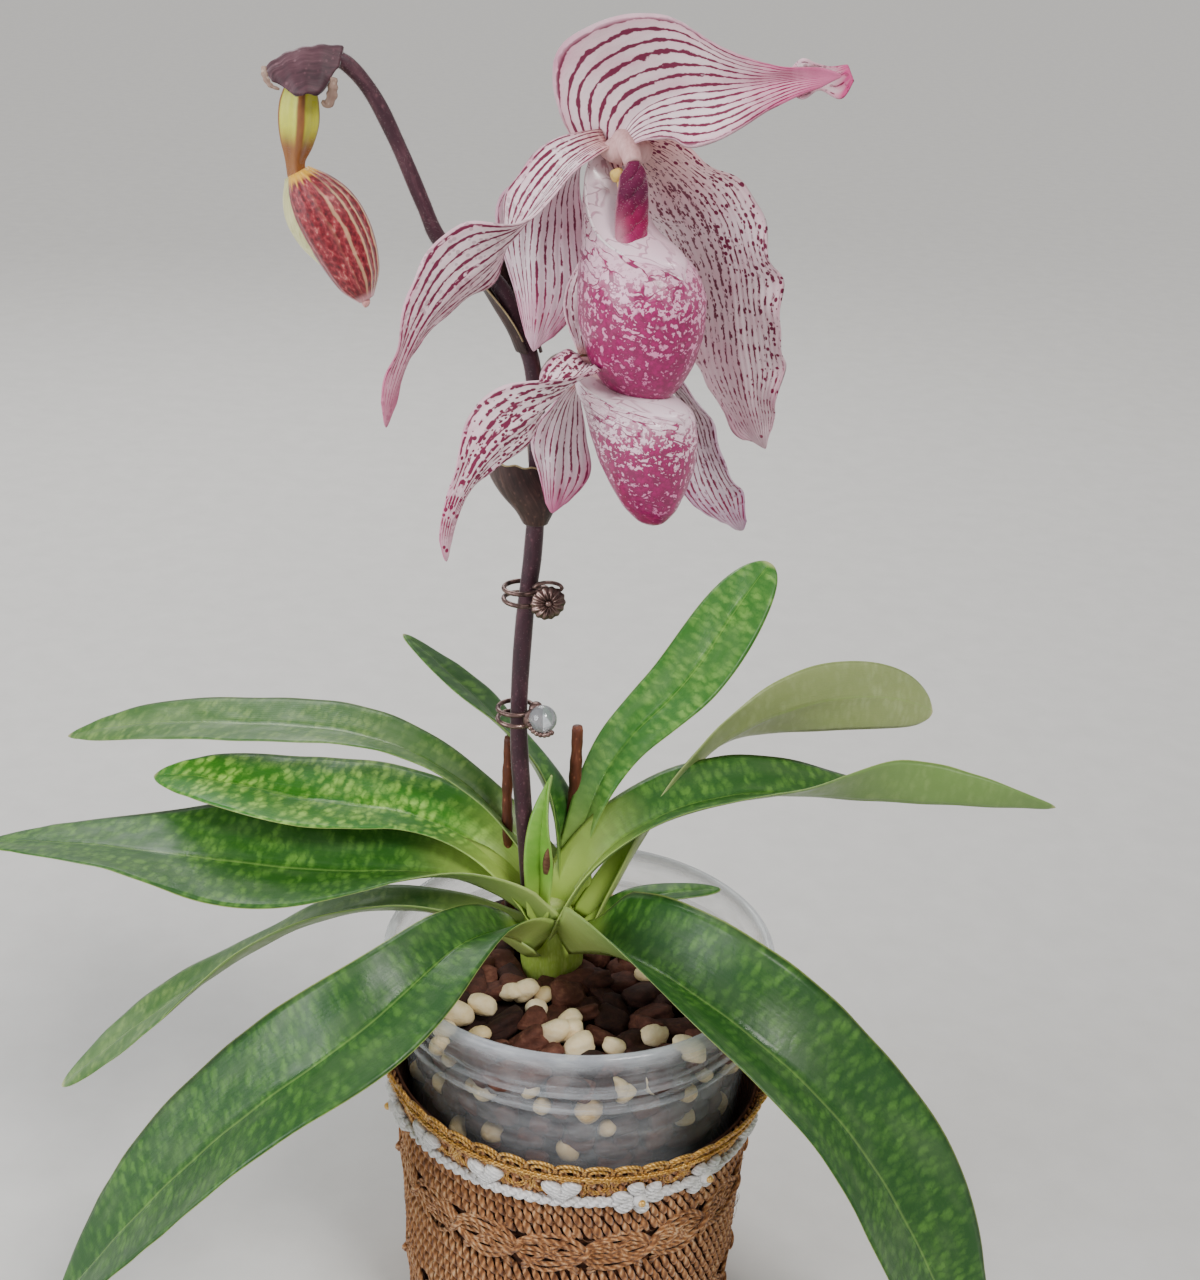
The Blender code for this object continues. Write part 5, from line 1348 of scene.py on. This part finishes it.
# Node, hub, foot, drop, length and half width, hairs, then the stub's lump
for node, hub, foot, drop, length, half, hair_count, knob in (
        ("upper_column", UPPER_HUB, (4.8, -12.6), 3.2, 24.0, 4.2, 900,
         ((1.4, -1.2, -2.0), (6.0, 3.8, 3.2), (0, 0, 0.3), 2.2, 0.05)),
        ("lower_column", LOWER_HUB, (1.0, -8.6), 1.0, 9.0, 3.0, 350,
         ((0.3, -0.8, -0.6), (4.2, 3.8, 3.2), (0, 0, 0.4), 2.2, 0.03))):
    hub = np.array(hub)
    front = np.append(unit(np.array(foot) - hub[:2]), 0.0)
    way = math.degrees(math.atan2(front[1], front[0]))
    made = blade(node + "_shield", node, "column_magenta", hub + front * 8.2 - [0, 0, drop],
                 length, (way, way), (-62, -84, -88, -90, -96), (6, 4, 0, -2, -4),
                 shield_side(half, (0.62, 0.86, 1.0, 0.98, 0.62)),
                 shield_side(half, (0.62, 0.9, 1.0, 0.9, 0.5)), (-26, -26), 28, 2.2,
                 [shield_look, shield_look],
                 lambda t, u, w: -0.7 * np.exp(-(u / 0.22) ** 2) * np.sin(math.pi * t)
                 + 0.25 * np.sin(t * 40 + 6 * u) * (1 - u ** 2), np.linspace(0, 1, 60))
    picked = [made.data.vertices[int(k)] for k in
              dice.choice(len(made.data.vertices), hair_count, False)]
    at, normal = (np.array([getattr(vert, key)[:] for vert in picked]) for key in ("co", "normal"))
    fleece = Pile()
    spikes(fleece, at / MM, unit(normal + dice.normal(0, 0.45, normal.shape)),
           dice.uniform(0.3, 0.7, hair_count), 0.04)
    fleece.make(node + "_wool", shield_look, "column_magenta")
    stub = Pile()
    s = steps(20)[:, None]
    stub.tube(hub + front * (1.5 + 6.6 * s) - np.array([0, 0, drop + 0.5]) * s ** 2,
              2.9 - 0.9 * s[:, 0], 20)
    lump(stub, hub + np.array(knob[0]), *knob[1:])
    if node == "upper_column":
        anther = Pile()
        lump(anther, (1.6, -11.4, 325.4), (1.7, 1.3, 1.5), (0.2, 0.1, 0.3), 2.2, 0.10)
        lump(anther, (2.6, -12.2, 323.6), (1.1, 0.9, 1.0), (0.2, 0.1, 0.3), 2.2, 0.10)
        anther.make(node + "_anther", downy_look("anther_yellow", "c79a3c", "ecd07a", 0.45, 200,
                                                 0.1), "bud_red")
    stub.make(node + "_stub", stub_look, "petal_white")
hairs.make("stem_hairs", downy_look("pale_hairs", "8d7c7c", "b9aaa6", 0.7, 200, 0.1),
           "stem_purple")

# The clips that hold the stem
bronze = Look("aged_metal", Metallic=0.85, Specular_IOR_Level=0.5)
wear = bronze.noise(bronze.place(), 380, 4, 0.65)
bronze.paint(bronze.ramp(wear, [(0.3, "3b2c2a"), (0.55, "7f6660"), (0.8, "b79f93")]))
bronze.rough(wear.level(0.3, 0.7, 0.5, 0.24))
bronze.relief(wear, 0.12, 0.5)
gem = Look("clear_gem", Roughness=0.04, Specular_IOR_Level=0.6, Transmission_Weight=0.75,
           IOR=1.46, Coat_Weight=0.6, Coat_Roughness=0.03)
gem.paint(gem.ramp(gem.noise(gem.place(), 260), [(0.3, "c8d2da"), (0.7, "f4f7fa")]))


def clip_rings(node, centre, seat, plate=None):
    """Two closed wires round the stem, on a seat."""
    wires = Pile()
    a = steps(61) * TURN
    for level in (-1.6, 1.6):
        wires.tube(np.array(centre) + np.stack([4.7 * np.cos(a), 4.7 * np.sin(a),
                                                level + 0.10 * level * np.cos(a)], -1),
                   0.62, 12, (0.0, 0.0, 1.0))
    lump(wires, seat, (1.9, 1.8, 3.0), power=3.0, rough=0.03)
    if plate:
        lump(wires, plate, (2.6, 1.3, 2.9), power=2.6, rough=0.05)
    wires.make(node + "_wires", bronze.made, "clip_metal", node + "_rings")
    return np.array(seat) + np.array([1.4, -4.1, 0.0])


seat = np.array((-12.9, 10.6, 216.8))
place = clip_rings("upper_clip", (-18.2, 12, 216.8), seat)
n = unit(np.array([0.22, -1.0, 0.18]))
u = unit(np.cross(n, [0, 0, 1.0]))
v = np.cross(u, n)
phi = np.linspace(0, TURN, 112, endpoint=False)
reach = 4.3 * (1 + 0.035 * np.cos(14 * phi)) * (1 + 0.04 * np.cos(2 * phi + 1))
trim = Pile()
medal(trim, lambda x, y, h: place + x[..., None] * u + y[..., None] * v + h[..., None] * n,
      reach[:, None] * np.stack([np.cos(phi), np.sin(phi)], -1),
      lambda rho, phi: 0.3 + 1.5 * np.sin(math.pi * np.clip(rho, 0, 1) ** 0.9)
      * (1 + 0.22 * np.cos(14 * phi)) * (rho > 0) + 0.2 * rho, 16)
lump(trim, place + n * 1.2, (0.9, 0.9, 0.9), rough=0.02)
s = steps(24)
trim.tube(place + np.stack([3.4 * np.cos(s * 3.6 - 0.4), 1.4 - 0.8 * s,
                            3.6 + 1.5 * np.sin(s * 3.6 - 0.4)], -1), 0.75, 10, flat=0.6)
trim.tube([place + [0, 0.3, 0], place + [-0.8, 2.0, 0], seat + [0, -0.8, 0]], 1.2, 10)
trim.make("upper_clip_rosette", bronze.made, "clip_metal", "upper_clip_ornament")

seat = np.array((-13.9, 10.6, 184.0))
place = clip_rings("lower_clip", (-19.2, 12, 183.0), seat, (-14.5, 8.2, 183.2))
ball, beads = Pile(), Pile()
lump(ball, place + np.array([0.6, 0, 0.3]), (3.7, 3.6, 3.7))
ball.make("lower_clip_ball", gem.made, "clip_gem", "lower_clip_ornament")
for k in range(8):
    b = math.radians(195 + 17 * k)
    lump(beads, place + np.array([0.6 + 3.5 * math.cos(b), -1.6 - 0.15 * k,
                                  0.3 + 3.5 * math.sin(b)]), (0.72, 0.72, 0.72))
beads.tube([place + [-2.2, 0.8, -0.6], place + [-1.6, 2.2, -0.4], seat + [0, -0.6, 0]], 1.5, 10)
beads.make("lower_clip_beads", bronze.made, "clip_metal")

# Camera, light and floor


def stand(name, data, place=(0, 0, 0), way=None):
    """An object in the scene, turned to look or shine along a direction if it has one."""
    made = bpy.data.objects.new(name, data)
    made.location = place
    if way is not None:
        made.rotation_euler = way.to_track_quat("-Z", "Y").to_euler()
    bpy.context.scene.collection.objects.link(made)
    return made


SENSOR_MM, PHOTO_H, FOCAL_PX = 36.0, 1280, 1800
camera = bpy.data.cameras.new("camera")
camera.sensor_width = SENSOR_MM
camera.lens = SENSOR_MM * FOCAL_PX / PHOTO_H
eye = stand("camera", camera)
eye.matrix_world = Matrix(((0.99912, -0.04188, 0.0, 0.00199),
                           (0.01672, 0.399, -0.9168, -0.41092),
                           (0.03839, 0.91599, 0.39935, 0.38904), (0, 0, 0, 1)))
bpy.context.scene.camera = eye

for name, place, aim, size, power, colour in (
        ("fill", (-0.9, -0.5, 0.55), (0, 0, 0.2), 0.8, 10, (0.95, 0.97, 1.0)),
        ("back", (-0.3, 0.9, 0.9), (0, 0, 0.25), 0.7, 5, (1, 1, 1))):
    light = bpy.data.lights.new(name, "AREA")
    light.shape, light.size, light.energy, light.color = "DISK", size, power, colour
    stand(name, light, place, Vector(aim) - Vector(place))
key = bpy.data.lights.new("key", "SUN")
key.angle, key.energy, key.color = math.radians(18), 2.1, (1.0, 0.98, 0.95)
stand("key", key, way=Vector((-0.42, 0.55, -0.85)))

world = bpy.data.worlds.new("studio")
bpy.context.scene.world = world
world.use_nodes = True
sky = world.node_tree.nodes["Background"].inputs
sky["Color"].default_value = (0.96, 0.96, 0.97, 1)
sky["Strength"].default_value = 0.5

look = Look("floor", Roughness=0.9, Specular_IOR_Level=0.2)
look.paint(look.ramp(look.noise(look.place(), 60, 4, 0.6),
                     [(0.3, (0.60, 0.59, 0.57, 1)), (0.7, (0.64, 0.63, 0.61, 1))]))
HALF_FLOOR = 40.0         # metres
floor_mesh = bpy.data.meshes.new("floor")
floor_mesh.from_pydata([(x * HALF_FLOOR, y * HALF_FLOOR, 0) for x, y in (
    (-1, -1), (1, -1), (1, 1), (-1, 1))], [], [(0, 1, 2, 3)])
floor_mesh.materials.append(look.made)
stand("floor", floor_mesh)
